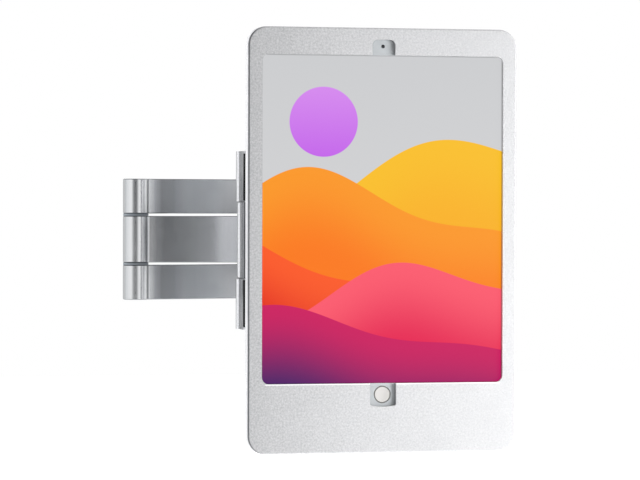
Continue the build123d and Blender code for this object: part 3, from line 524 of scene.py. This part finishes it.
@dataclass(frozen=True)
class LitPicture:
    """Display panel that shows a picture of layered hills under a pale sky, behind polished glass.

    The glass has a coating that takes away most of its reflection, so the colours stay deep. What lies below a
    ridge takes its colour, which deepens downwards. Lengths are in millimetres from the screen's middle.
    """

    name: str = "lit_display_panel"
    half_width: float = 81.7
    low: float = -94.0
    high: float = 122.0
    # Width in mm and darkest share of a painted shadow along the window's edges.
    painted_window_shadow_mm: float = 0.9
    painted_window_shadow_share: float = 0.55
    glow: float = 0.95
    coating: float = 0.15
    sky: tuple[str, str] = ("#d9d9da", "#cfd0d2")
    disc_centre: tuple[float, float] = (-40.0, 78.0)
    disc_radius: float = 23.0
    disc_tones: tuple[str, str] = ("#c765ee", "#d98cf2")
    ridges: tuple[Ridge, ...] = (
        Ridge(34.0, 30.0, 62.0, 0.4, 8.0, "#fdc21c", "#fdb415"),
        Ridge(14.0, 26.0, 55.0, 2.3, 9.0, "#ff9a1a", "#ff7a00"),
        Ridge(-14.0, 24.0, 60.0, 3.9, 7.0, "#ff5a1c", "#e00600"),
        Ridge(-38.0, 20.0, 48.0, 0.9, 6.0, "#ff5a6e", "#e8104e"),
        Ridge(-62.0, 15.0, 52.0, 2.9, 5.0, "#cf0f5e", "#3b1866"),
    )

    def build(self) -> Material:
        """Build the material."""
        material, tree, shader = new_material(self.name)
        parts = millimetres(tree, SCREEN_X)
        x, z = parts["X"], parts["Z"]
        rise = line_of(tree, z, 1 / (self.high - self.low), 0.44, clamp=True)
        colour = self.disc(tree, tones_of(tree, rise, *self.sky), x, z)
        for ridge in self.ridges:
            colour = ridge.lay(tree, colour, x, z)
        inside = self.inside(tree, x, z)
        # Darken the picture near its edges: a painted shadow of the window's edge.
        rim = line_of(tree, inside, (1 - self.painted_window_shadow_share) / self.painted_window_shadow_mm, self.painted_window_shadow_share, clamp=True)
        colour = blend_of(tree, 1.0, colour, rim, "MULTIPLY")
        lit = line_of(tree, inside, 8.0, 0.5, clamp=True)
        wire(tree, shader, {
            "Emission Color": colour, "Emission Strength": math_of(tree, "MULTIPLY", lit, self.glow),
            "Base Color": tones_of(tree, lit, GLASS_PRINT, "#101012"), "Roughness": 0.06, "IOR": 1.5,
            "Specular IOR Level": self.coating})
        return material

    def inside(self, tree: Tree, x: Socket, z: Socket) -> Socket:
        """Measure how far a place lies inside the lit area, in millimetres: the smallest of four distances."""
        side = math_of(tree, "SUBTRACT", self.half_width, math_of(tree, "ABSOLUTE", x))
        height = math_of(tree, "MINIMUM", math_of(tree, "SUBTRACT", z, self.low), math_of(
            tree, "SUBTRACT", self.high, z))
        return math_of(tree, "MINIMUM", side, height)

    def disc(self, tree: Tree, below: Socket, x: Socket, z: Socket) -> Socket:
        """Lay a round disc over the picture, from the colour below and the place in millimetres."""
        dx, dz = (math_of(tree, "SUBTRACT", place, middle) for place, middle in zip((x, z), self.disc_centre))
        square = math_of(tree, "ADD", math_of(tree, "MULTIPLY", dx, dx), math_of(tree, "MULTIPLY", dz, dz))
        inside = math_of(tree, "SUBTRACT", self.disc_radius, math_of(tree, "SQRT", square))
        rise = line_of(tree, dz, 0.5 / self.disc_radius, 0.5, clamp=True)
        fill = tones_of(tree, rise, *self.disc_tones)
        return blend_of(tree, edge_of(tree, inside), below, fill)


class Finish(Enum):
    """Finishes of the object's pieces, each with the record's slot that it belongs to."""

    # The cover's shading stops paint shade on the left of the face, lighter towards the middle; the line under its
    # window is a painted highlight, and its grain's contrast falls to the right as a painted glare.
    COVER = ("enclosure_powder", PowderCoat(
        base="#d8d8d9", shade="#b0b1b3", lip=(SCREEN_X, 80.0, -94.0), painted_glare_fade=(1.4, 0.5), painted_shading=(
            (FACE_LEFT, "#e8e8e8"), (-68.0, "#eeeeee"), (-50.0, "#f2f2f2"), (-20.0, "#f8f8f8"), (5.0, "#f9f9f9"),
            (30.0, "#f9f9f9"), (60.0, "#f8f8f8"), (FACE_RIGHT, "#f6f6f6"))))
    # In the powder coats below the third colour, and the cover's default, is painted shade on the front edge.
    TRAY = ("enclosure_powder", PowderCoat("silver_powder_coat_tray", "#d6d6d8", "#bcbcbe", "#6c6d70", metallic=0.5))
    WALL_STEEL = ("wall_steel", PowderCoat("silver_powder_coat_plate", "#d2d2d4", "#b0b1b3", "#b4b5b8"))
    CASTING = ("cast_silver", PowderCoat(
        "silver_powder_coat_casting", "#b6b7b9", "#8c8d90", "#a0a1a4", grain_mm=1.6, contrast=2.0, relief_mm=0.09))
    # The flank colour of the saddle is painted shade on its left and right faces.
    SADDLE = ("saddle_steel", PowderCoat(
        "satin_silver_sheet", "#ececee", "#dcddde", "#d2d3d5", grain_mm=1.0, contrast=1.4, relief_mm=0.02,
        metallic=0.6, roughness=0.3, painted_flank_shade="#66676a"))
    # The bands' shading stops paint shade on their front faces just past the elbow's barrel, fading out towards the
    # saddle; the rear arm's copy is darker.
    BAND = ("band_aluminium", SatinAnodised(painted_shading=(
        (-134.5, "#ffffff"), (-131.5, "#d8d9db"), (-126.0, "#bcbdbf"), (-118.0, "#c4c6c8"),
        (-100.0, "#e6e8ea"), (-84.0, "#fafafc"), (-70.0, "#ffffff"))))
    REAR_BAND = ("band_aluminium", SatinAnodised("satin_anodised_aluminium_rear", painted_shading=(
        (-134.5, "#ffffff"), (-131.5, "#c2c3c5"), (-127.0, "#9c9d9f"), (-118.0, "#a4a6a8"),
        (-103.0, "#d0d3d5"), (-88.0, "#f4f6f8"), (-75.0, "#ffffff"))))
    CAP = ("band_aluminium", SatinAnodised("satin_anodised_aluminium_plain"))
    TABLET_CASE = ("tablet_aluminium", SatinAnodised("bead_blasted_aluminium", "#d6d6d8", "#c9c9cb", 0.8, 0.42))
    ZINC = ("zinc_steel", ZincPlate())
    RING = ("ring_steel", ZincPlate("polished_steel_ring", "#a3a29e", "#7f7f7b", 0.16))
    NYLON = ("grey_nylon", MouldedPolymer("grey_moulded_nylon", "#6f757a", "#666c71", 0.9, 0.03, 0.5))
    RUBBER = ("black_rubber", MouldedPolymer("black_rubber", "#060606", "#040404", 0.9, 0.05, 0.8, 0.05))
    FOAM = ("black_foam", MouldedPolymer("closed_cell_foam", "#232324", "#161617", 1.1, 0.15, 0.9, 0.2))
    BORDER = ("white_glass", BackedGlass())
    BUTTON = ("button_glass", BackedGlass("white_button_glass", "#9d9b99", "#989694", 0.15))
    LENS = ("lens_glass", BackedGlass("dark_lens_glass", "#0a0b0d", "#14161a", 0.04))
    PICTURE = ("display", LitPicture())

    @property
    def slot(self) -> str:
        """The record's material slot."""
        return self.value[0]

    @property
    def recipe(self) -> object:
        """The dataclass that builds the material."""
        return self.value[1]


@dataclass
class Palette:
    """Builds each finish once and keeps it."""

    made: dict[Finish, Material] = field(default_factory=dict)

    def material(self, finish: Finish) -> Material:
        """Give a finish's material."""
        if finish not in self.made:
            self.made[finish] = finish.recipe.build()
        return self.made[finish]


# Turned pieces


class Outline(Enum):
    """Cross-section of a turned piece at one station."""

    ROUND = "round"
    HEX = "hex"
    KNURLED = "knurled"


@dataclass(frozen=True)
class Station:
    """One ring of a turned surface: place along the axis, radius and outline, in millimetres.

    flats is the width across a hexagon's flats, which then cuts into the round radius.
    """

    along: float
    radius: float
    outline: Outline = Outline.ROUND
    flats: float = 0.0

    def radii(self, angle: np.ndarray) -> np.ndarray:
        """Give the radius at each angle.

        Round: constant. Hexagon: the smaller of the round radius and half the flats over the cosine of the
        angle to the nearest flat's middle. Knurled: the radius less a shallow cosine of 36 ridges.

        Args:
            angle: Angles in radians.

        Returns:
            Radii in millimetres.
        """
        if self.outline is Outline.HEX:
            third = math.pi / 3
            return np.minimum(self.radius, self.flats / 2 / np.cos(np.mod(angle, third) - third / 2))
        if self.outline is Outline.KNURLED:
            return self.radius - KNURL_DEPTH / 2 * (1 - np.cos(KNURL_RIDGES * angle))
        return np.full_like(angle, self.radius)


def corner_of(flats: float) -> float:
    """Give a hexagon's radius over its corners from its width across flats."""
    return flats / 2 / math.cos(math.pi / 6)


@dataclass(frozen=True)
class Axis:
    """Line that a piece is turned about: where it starts, in millimetres, and its direction."""

    origin: tuple[float, float, float]
    direction: tuple[float, float, float]

    def place(self, along: np.ndarray, across: np.ndarray, up: np.ndarray) -> np.ndarray:
        """Turn places on the axis into points: origin + along a + across b + up c, with a, b, c at right angles.

        Args:
            along: Distances along the axis.
            across: Distances along its first normal.
            up: Distances along its second normal.

        Returns:
            Points in metres.
        """
        a = np.array(self.direction, float)
        b = np.cross(a, (0.0, 0.0, 1.0) if abs(a[2]) < 0.9 else (1.0, 0.0, 0.0))
        b /= np.linalg.norm(b)
        c = np.cross(a, b)
        points = np.array(self.origin) + along[..., None] * a + across[..., None] * b + up[..., None] * c
        return points.reshape(-1, 3) * MM


def turned(stations: list[Station], axis: Axis, ring: bool = False, columns: int = 72) -> Surface:
    """Turn a profile about an axis.

    point(i, j) = axis place (s_i, r_i(a_j) cos a_j, r_i(a_j) sin a_j) with a_j = 2 pi j / columns. A ring's last
    station joins its first. Any other surface closes with one point on the axis at each end.

    Args:
        stations: The profile, without the end points.
        axis: The axis.
        ring: Whether the profile is a closed loop.
        columns: Points round the axis.

    Returns:
        Points in metres and faces.
    """
    angle = np.arange(columns) * 2 * math.pi / columns
    radius = np.stack([station.radii(angle) for station in stations])
    along = np.repeat(np.array([[station.along] for station in stations]), columns, axis=1)
    points = axis.place(along, radius * np.cos(angle), radius * np.sin(angle))
    rows = len(stations)
    i, j = np.meshgrid(np.arange(rows if ring else rows - 1), np.arange(columns), indexing="ij")
    below, beside = (i + 1) % rows, (j + 1) % columns
    quads = np.stack([i * columns + j, i * columns + beside, below * columns + beside, below * columns + j], -1)
    faces = [tuple(quad) for quad in quads.reshape(-1, 4).tolist()]
    if not ring:
        ends = np.array([stations[0].along, stations[-1].along])
        points = np.concatenate([points, axis.place(ends, ends * 0, ends * 0)])
        last, pole = (rows - 1) * columns, rows * columns
        steps = [(step, (step + 1) % columns) for step in range(columns)]
        faces += [(pole, after, step) for step, after in steps]
        faces += [(pole + 1, last + step, last + after) for step, after in steps]
    return points, faces


def arc(start: Station, end: Station, steps: int = 5) -> list[Station]:
    """Join two stations with a quarter ellipse that leaves the first across the axis and meets the second along it.

    along = s0 + (s1 - s0) (1 - cos t), radius = r0 + (r1 - r0) sin t, t from 0 to a quarter turn.

    Args:
        start: First station.
        end: Second station.
        steps: Stations on the arc.

    Returns:
        The stations of the arc, both ends included.
    """
    turns = np.linspace(0.0, math.pi / 2, steps)
    return [Station(start.along + (end.along - start.along) * (1 - math.cos(t)),
                    start.radius + (end.radius - start.radius) * math.sin(t), end.outline, end.flats)
            for t in turns]


@dataclass(frozen=True)
class Screw:
    """Socket screw. Distances run from the head's face into the work, in millimetres."""

    head_radius: float
    head_height: float
    shank_radius: float
    length: float
    key: float
    crown: float
    pin: float = 0.0
    knurled: bool = False
    countersunk: bool = False
    socket_share: float = 0.62
    pin_radius: float = 0.45
    tip_cut: float = 0.6
    rim_cut: float = 0.1

    def profile(self) -> list[Station]:
        """Lay out the socket, the head and the shank as stations, from the socket's floor to the tip."""
        floor = self.head_height * self.socket_share
        corner = corner_of(self.key)
        wall = (corner + 1.0, Outline.HEX, self.key)
        stations = [Station(floor - self.pin, self.pin_radius), Station(floor, self.pin_radius)] if self.pin else []
        stations += [Station(floor, *wall), Station(0.25, *wall), Station(0.0, corner + 0.2)]
        rim = Outline.KNURLED if self.knurled else Outline.ROUND
        if self.countersunk:
            stations += [Station(0.0, self.head_radius), Station(0.3, self.head_radius),
                         Station(self.head_height, self.shank_radius + self.rim_cut)]
        else:
            flat = max(corner + 0.5, self.head_radius - 2.2 * self.crown)
            stations += arc(Station(0.0, flat), Station(self.crown, self.head_radius))
            stations += [Station(self.crown, self.head_radius, rim),
                         Station(self.head_height - self.rim_cut, self.head_radius, rim),
                         Station(self.head_height, self.head_radius - self.rim_cut)]
        tip = self.head_height + self.length
        stations += [Station(self.head_height, self.shank_radius), Station(tip - self.tip_cut, self.shank_radius),
                     Station(tip, self.shank_radius - self.tip_cut)]
        return stations

    def mesh(self, axis: Axis) -> Surface:
        """Turn the screw about an axis that starts on its head's face."""
        return turned(self.profile(), axis, columns=144 if self.knurled else 72)


@dataclass(frozen=True)
class LockNut:
    """Hexagon nut with a crimped collar round a nylon ring. Distances run from its seat, in millimetres."""

    flats: float
    height: float
    bore: float
    hex_share: float = 0.72
    insert_depth: float = 1.0
    insert_width: float = 1.0

    def body(self, axis: Axis) -> Surface:
        """Turn the steel body: a hexagon whose corners a cone cuts at both ends, and the collar's rolled lip."""
        corner = corner_of(self.flats)
        hexagon, lip = (Outline.HEX, self.flats), 0.5
        hole, collar, top = self.bore / 2 + 0.02, self.flats * 0.45, self.height * self.hex_share
        stations = [
            Station(0.0, hole + 0.35), Station(0.0, self.flats * 0.49), Station(0.25, corner - 0.3, *hexagon),
            Station(0.45, corner + 0.1, *hexagon), Station(top - 0.55, corner + 0.1, *hexagon),
            Station(top - 0.3, corner - 0.25, *hexagon), Station(top, self.flats * 0.48),
            Station(top, collar), Station(self.height - lip, collar)]
        stations += [Station(self.height - lip * math.sin(t), collar - lip * (1 - math.cos(t)))
                     for t in np.linspace(0.3, 1.4, 3)][::-1]
        floor = self.height - self.insert_depth
        stations += [Station(self.height, collar - 0.8), Station(self.height - 0.25, hole + self.insert_width),
                     Station(floor, hole + self.insert_width), Station(floor, hole), Station(0.35, hole)]
        return turned(stations, axis, ring=True)

    def insert(self, axis: Axis) -> Surface:
        """Turn the nylon ring that stands in the collar, with a rounded crown."""
        hole, rim = self.bore / 2 + 0.03, self.bore / 2 + self.insert_width
        low, high = self.height - self.insert_depth + 0.02, self.height - 0.3
        stations = [Station(low, hole), Station(low, rim), Station(high - 0.2, rim)]
        stations += [Station(high, rim - 0.2), Station(high, hole + 0.25), Station(high - 0.2, hole)]
        return turned(stations, axis, ring=True)


# Sub-assemblies


def behind(depth: float, x: float = 0.0, z: float = 0.0) -> tuple[float, float, float]:
    """Give a point by its depth behind the enclosure's face and its place from the screen's middle."""
    return (SCREEN_X + x, FRONT_Y + depth, z)


def corners(spacing_x: float, spacing_z: float) -> list[tuple[float, float]]:
    """Give the four corners of a rectangular pattern."""
    return [(sx * spacing_x / 2, sz * spacing_z / 2) for sx in (-1, 1) for sz in (-1, 1)]


@dataclass
class SubAssembly:
    """Group of pieces that share one palette. Its sizes are in millimetres, in the CAD's frame."""

    palette: Palette

    def dress(self, finish: Finish, *names: str) -> None:
        """Put a finish on CAD nodes.

        Args:
            finish: The finish.
            *names: The nodes' names.
        """
        material = self.palette.material(finish)
        for name in names:
            data = NODES[name].data
            if not data.materials:
                data.materials.append(material)
            for index in range(len(data.materials)):
                data.materials[index] = material
            LOG.info("node %s takes %s", name, material.name)

    def make(self, name: str, parts: list[Surface], finish: Finish, body: str, *nodes: str) -> None:
        """Join closed surfaces into one piece, put its finish on and hang it on its body.

        Args:
            name: The piece's name.
            parts: The closed surfaces.
            finish: The piece's finish.
            body: CAD body that it moves with.
            *nodes: CAD nodes that it stands for.
        """
        starts = np.cumsum([0] + [len(points) for points, _ in parts[:-1]])
        faces = [tuple(index + int(start) for index in face)
                 for (_, group), start in zip(parts, starts) for face in group]
        mesh = bpy.data.meshes.new(name)
        mesh.from_pydata(np.concatenate([points for points, _ in parts]).tolist(), [], faces)
        shell = bmesh.new()
        shell.from_mesh(mesh)
        bmesh.ops.recalc_face_normals(shell, faces=shell.faces)
        shell.to_mesh(mesh)
        shell.free()
        mesh.polygons.foreach_set("use_smooth", np.ones(len(mesh.polygons), bool))
        mesh.set_sharp_from_angle(angle=math.radians(SHARP_DEG))
        mesh.materials.append(self.palette.material(finish))
        piece = bpy.data.objects.new(name, mesh)
        bpy.context.scene.collection.objects.link(piece)
        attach(piece, body)
        if nodes:
            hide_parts(*nodes)
        LOG.info("piece %s rides on %s: %d faces", name, body, len(faces))


@dataclass
class WallSide(SubAssembly):
    """Wall plate and knuckle, with the countersunk screws that join them from the wall's side."""

    spacing_x: float = 36.0
    spacing_z: float = 18.0
    sink: float = 0.2
    screw: Screw = Screw(4.5, 2.3, 2.5, 6.5, 3.0, 0.0, countersunk=True)

    def build(self) -> None:
        """Dress the nodes and make the screws."""
        self.dress(Finish.WALL_STEEL, "wall_plate")
        self.dress(Finish.CAP, "wall_knuckle")
        self.dress(Finish.NYLON, "wall_bushing")
        axes = [Axis((x, -self.sink, z), (0, -1, 0)) for x, z in corners(self.spacing_x, self.spacing_z)]
        self.make("knuckle_screws_turned", [self.screw.mesh(axis) for axis in axes], Finish.ZINC, "wall_side",
                  "wall_knuckle_screws")


@dataclass
class FoldingArm(SubAssembly):
    """Bands of the folding arm with the caps, washers and pins of its two hinges."""

    hinges: tuple[tuple[str, float, float], ...] = (("wall", 0.0, -24.0), ("elbow", -144.889, -62.823))
    washer_low: float = 15.8
    washer_height: float = 1.6
    washer_radius: float = 8.6
    bore_radius: float = 4.02

    def washer(self, axis: Axis) -> Surface:
        """Turn a thrust washer with rounded rims. Distances run from its lower face."""
        rim, height, hole = self.washer_radius, self.washer_height, self.bore_radius
        half = [Station(0.0, hole), Station(0.0, rim - 0.25), Station(0.1, rim - 0.07), Station(0.3, rim)]
        return turned(half + [Station(height - low.along, low.radius) for low in reversed(half)], axis, ring=True)

    def build(self) -> None:
        """Dress the nodes and make the washers."""
        self.dress(Finish.REAR_BAND, "rear_arm_upper", "rear_arm_lower")
        self.dress(Finish.BAND, "front_arm")
        self.dress(Finish.NYLON, "elbow_bushing", "head_bushing", "head_washer_upper", "head_washer_lower")
        for hinge, x, y in self.hinges:
            self.dress(Finish.CAP, f"{hinge}_cap_top", f"{hinge}_cap_bottom")
            self.dress(Finish.ZINC, f"{hinge}_pin", f"{hinge}_pin_nut")
            for side, way in (("upper", 1), ("lower", -1)):
                axis = Axis((x, y, way * self.washer_low), (0, 0, way))
                self.make(f"{hinge}_washer_{side}_turned", [self.washer(axis)], Finish.NYLON, "rear_arm",
                          f"{hinge}_washer_{side}")


@dataclass
class Head(SubAssembly):
    """Swivel yoke, tilt bracket and the fasteners of their three pivots."""

    pin_y: float = -74.592
    lug_top: float = 21.9
    tilt_depth: float = 60.5
    ear_outer: float = 21.95
    plate_back: float = 36.45
    bracket_back: float = 43.5
    head_pin: Screw = Screw(6.3, 3.0, 4.0, 49.8, 4.0, 1.0)
    tilt_bolt: Screw = Screw(5.0, 4.0, 3.0, 48.9, 4.0, 0.7, knurled=True)
    rotation_bolt: Screw = Screw(8.0, 3.0, 4.0, 12.55, 5.0, 0.8)
    head_nut: LockNut = LockNut(13.0, 6.0, 8.0)
    tilt_nut: LockNut = LockNut(10.0, 5.0, 6.0)
    rotation_nut: LockNut = LockNut(13.0, 5.5, 8.0)

    def fasten(self, body: str, screw_node: str, screw: Surface, nut_node: str, nut: LockNut, seat: Axis) -> None:
        """Make one screw, its nut and the nut's nylon ring.

        Args:
            body: CAD body that they move with.
            screw_node: CAD node that the screw stands for.
            screw: The screw's surface.
            nut_node: CAD node that the nut stands for.
            nut: The nut.
            seat: Axis from the nut's seat outwards.
        """
        self.make(screw_node + "_turned", [screw], Finish.ZINC, body, screw_node)
        self.make(nut_node + "_turned", [nut.body(seat)], Finish.ZINC, body, nut_node)
        self.make(nut_node + "_insert", [nut.insert(seat)], Finish.NYLON, body)

    def build(self) -> None:
        """Dress the nodes and make the fasteners."""
        self.dress(Finish.CASTING, "swivel_yoke", "tilt_bracket")
        self.dress(Finish.ZINC, "rotation_washer")
        self.dress(Finish.NYLON, "tilt_washers")
        down, right, back = (0, 0, -1), (1, 0, 0), (0, 1, 0)
        top = Axis((SCREEN_X, self.pin_y, self.lug_top + self.head_pin.head_height), down)
        bottom = Axis((SCREEN_X, self.pin_y, -self.lug_top), down)
        self.fasten("head", "head_pin", self.head_pin.mesh(top), "head_pin_nut", self.head_nut, bottom)
        left = Axis(behind(self.tilt_depth, -self.ear_outer - self.tilt_bolt.head_height), right)
        outer = Axis(behind(self.tilt_depth, self.ear_outer), right)
        self.fasten("tilt_head", "tilt_bolt", self.tilt_bolt.mesh(left), "tilt_nut", self.tilt_nut, outer)
        face = Axis(behind(self.plate_back - self.rotation_bolt.head_height), back)
        seat = Axis(behind(self.bracket_back), back)
        self.fasten(
            "tilt_head", "rotation_bolt", self.rotation_bolt.mesh(face), "rotation_nut", self.rotation_nut, seat)


@dataclass
class ScreenMount(SubAssembly):
    """Screen plate, saddle, standoffs and edge gaskets, with the plate's four screws."""

    spacing: float = 75.0
    plate_back: float = 39.0
    screw: Screw = Screw(4.0, 2.4, 2.0, 14.0, 2.5, 0.8)

    def build(self) -> None:
        """Dress the nodes and make the screws."""
        self.dress(Finish.WALL_STEEL, "screen_plate")
        self.dress(Finish.SADDLE, "saddle")
        self.dress(Finish.ZINC, "standoffs")
        self.dress(Finish.RUBBER, "edge_gaskets")
        face = self.plate_back + self.screw.head_height
        axes = [Axis(behind(face, x, z), (0, -1, 0)) for x, z in corners(self.spacing, self.spacing)]
        self.make("plate_screws_turned", [self.screw.mesh(axis) for axis in axes], Finish.ZINC, "screen",
                  "screen_plate_screws")


@dataclass
class Enclosure(SubAssembly):
    """Tray and front cover with the two security screws under the chin."""

    screw_x: float = 60.0
    screw_z: float = -126.0
    back: float = 13.0
    screw: Screw = Screw(4.0, 2.0, 2.0, 9.0, 2.5, 0.8, pin=0.9)

    def build(self) -> None:
        """Dress the nodes and make the screws."""
        self.dress(Finish.COVER, "front_cover")
        self.dress(Finish.TRAY, "rear_tray")
        self.dress(Finish.FOAM, "cover_gasket", "side_pads", "back_pad")
        face = self.back + self.screw.head_height
        axes = [Axis(behind(face, x, self.screw_z), (0, -1, 0)) for x in (-self.screw_x, self.screw_x)]
        self.make("cover_screws_turned", [self.screw.mesh(axis) for axis in axes], Finish.ZINC, "screen",
                  "cover_screws")


@dataclass
class Tablet(SubAssembly):
    """Tablet held in the enclosure, with its lit display, lens and home button."""

    def build(self) -> None:
        """Dress the nodes."""
        for finish, node in (
                (Finish.TABLET_CASE, "tablet_body"), (Finish.BORDER, "tablet_bezel"),
                (Finish.PICTURE, "tablet_display"), (Finish.LENS, "camera_lens"),
                (Finish.RING, "home_button_ring"), (Finish.BUTTON, "home_button")):
            self.dress(finish, node)


# Studio


@dataclass(frozen=True)
class Softbox:
    """Rectangular lamp, in metres and watts. Glossy surfaces don't reflect it, so it leaves no glare."""

    name: str
    place: tuple[float, float, float]
    aim: tuple[float, float, float]
    size: tuple[float, float]
    watts: float

    def hang(self) -> None:
        """Add the lamp to the scene."""
        data = bpy.data.lights.new(self.name, "AREA")
        data.shape = "RECTANGLE"
        data.size, data.size_y = self.size
        data.energy = self.watts
        lamp = bpy.data.objects.new(self.name, data)
        lamp.location = self.place
        lamp.visible_glossy = False
        lamp.rotation_mode = "QUATERNION"
        lamp.rotation_quaternion = (Vector(self.place) - Vector(self.aim)).to_track_quat("Z", "Y")
        bpy.context.scene.collection.objects.link(lamp)


@dataclass(frozen=True)
class Studio:
    """Camera, lamps, world and floor.

    room gives the walls' colour by azimuth, from the back over the left, the front and the right to the back
    again; sky multiplies it by height, from below to above.
    """

    camera_mm: tuple[float, float, float] = (-508.8, -2191.4, 22.0)
    yaw_deg: float = 13.010
    pitch_deg: float = -0.592
    roll_deg: float = 0.136
    focal_px: float = 3188.3
    width_px: float = 640.0
    floor_z: float = -0.42
    floor_half: float = 6.0
    floor_lift: float = 0.62
    world_level: float = 1.12
    room: Stops = (
        (0.0, "#e6e7e9"), (0.03, "#f2f2f3"), (0.10, "#fafafa"), (0.164, "#c9cbce"), (0.203, "#d9dbdd"),
        (0.267, "#eeeff1"), (0.325, "#fafafc"), (0.372, "#ffffff"), (0.400, "#a8a9ab"), (0.425, "#6c6d6f"),
        (0.455, "#434446"), (0.490, "#424345"), (0.514, "#8f9092"), (0.540, "#ececee"), (0.565, "#ffffff"),
        (0.67, "#ffffff"), (0.728, "#e6e7e9"), (0.78, "#fafafa"), (0.93, "#e6e7e9"))
    sky: Stops = ((0.0, "#d4d5d8"), (0.4, "#f4f4f4"), (1.0, "#ffffff"))
    lamps: tuple[Softbox, ...] = (
        Softbox("key_right", (0.40, -0.46, -0.05), (0.06, -0.155, -0.05), (0.30, 0.50), 7.4),
        Softbox("fill_left", (-1.1, 0.02, 0.1), (-0.09, -0.13, 0.0), (0.8, 0.9), 12.0),
        Softbox("back_soft", (-0.7, 1.1, 0.7), (-0.02, -0.05, 0.0), (1.0, 1.0), 14.0),
    )

    def camera(self) -> None:
        """Place the camera at the photograph's angle.

        The view direction is turned by yaw about the vertical and by pitch above the horizon; the picture is
        then rolled about it. The lens is the focal length in pixels times the sensor's width over the picture's.
        """
        yaw, pitch, roll = (math.radians(v) for v in (self.yaw_deg, self.pitch_deg, self.roll_deg))
        ahead = Vector((math.sin(yaw) * math.cos(pitch), math.cos(yaw) * math.cos(pitch), math.sin(pitch)))
        right = Vector((math.cos(yaw), -math.sin(yaw), 0.0))
        up = right.cross(ahead)
        right, up = (right * math.cos(roll) + up * math.sin(roll), up * math.cos(roll) - right * math.sin(roll))
        data = bpy.data.cameras.new("view")
        data.sensor_width = 36.0
        data.lens = self.focal_px * data.sensor_width / self.width_px
        data.clip_start, data.clip_end = 0.05, 60.0
        camera = bpy.data.objects.new("view", data)
        turn = Matrix((right, up, -ahead)).transposed().to_4x4()
        camera.matrix_world = Matrix.Translation(Vector(self.camera_mm) * MM) @ turn
        bpy.context.scene.collection.objects.link(camera)
        bpy.context.scene.camera = camera

    def world(self) -> None:
        """Surround the object with a soft room that has a dark gap; the camera sees pure white instead."""
        world = bpy.data.worlds.new("studio")
        bpy.context.scene.world = world
        world.use_nodes = True
        tree = world.node_tree
        back = next(n for n in tree.nodes if n.type == "BACKGROUND")
        ray = add_node(tree, "TexCoord").outputs["Generated"]
        axes = add_node(tree, "SeparateXYZ", {"Vector": ray}).outputs
        azimuth = math_of(tree, "ARCTAN2", axes["X"], math_of(tree, "MULTIPLY", axes["Y"], -1.0))
        share = line_of(tree, azimuth, 0.5 / math.pi, 0.5)
        height = line_of(tree, axes["Z"], 0.5, 0.5, clamp=True)
        walls = blend_of(tree, 1.0, ramp_of(tree, share, self.room), ramp_of(tree, height, self.sky), "MULTIPLY")
        seen = add_node(tree, "LightPath").outputs["Is Camera Ray"]
        wire(tree, back, {
            "Color": blend_of(tree, seen, walls, WHITE),
            "Strength": line_of(tree, seen, 1.0 - self.world_level, self.world_level)})

    def floor(self) -> None:
        """Lay a pale floor that the camera sees as white and that keeps the object's shadow."""
        mesh = bpy.data.meshes.new("floor")
        signs = ((-1, -1), (1, -1), (1, 1), (-1, 1))
        mesh.from_pydata(
            [(x * self.floor_half, y * self.floor_half, self.floor_z) for x, y in signs], [], [(0, 1, 2, 3)])
        floor = bpy.data.objects.new("floor", mesh)
        material, tree, shader = new_material("pale_floor")
        rays = add_node(tree, "LightPath").outputs
        seen = math_of(tree, "MAXIMUM", rays["Is Camera Ray"], rays["Is Transmission Ray"])
        wire(tree, shader, {
            "Emission Strength": math_of(tree, "MULTIPLY", seen, self.floor_lift), "Emission Color": WHITE,
            "Base Color": linear("#f4f4f4"), "Roughness": 0.9, "Specular IOR Level": 0.0})
        mesh.materials.append(material)
        bpy.context.scene.collection.objects.link(floor)

    def build(self) -> None:
        """Build the whole studio."""
        bpy.context.scene.view_settings.view_transform = "Standard"
        self.camera()
        self.world()
        self.floor()
        for lamp in self.lamps:
            lamp.hang()
        LOG.info("studio built")


def main() -> None:
    """Build the studio and the sub-assemblies in order."""
    Studio().build()
    palette = Palette()
    for part in (WallSide, FoldingArm, Head, ScreenMount, Enclosure, Tablet):
        part(palette).build()
        LOG.info("%s built", part.__name__)


if __name__ == "__main__":
    main()
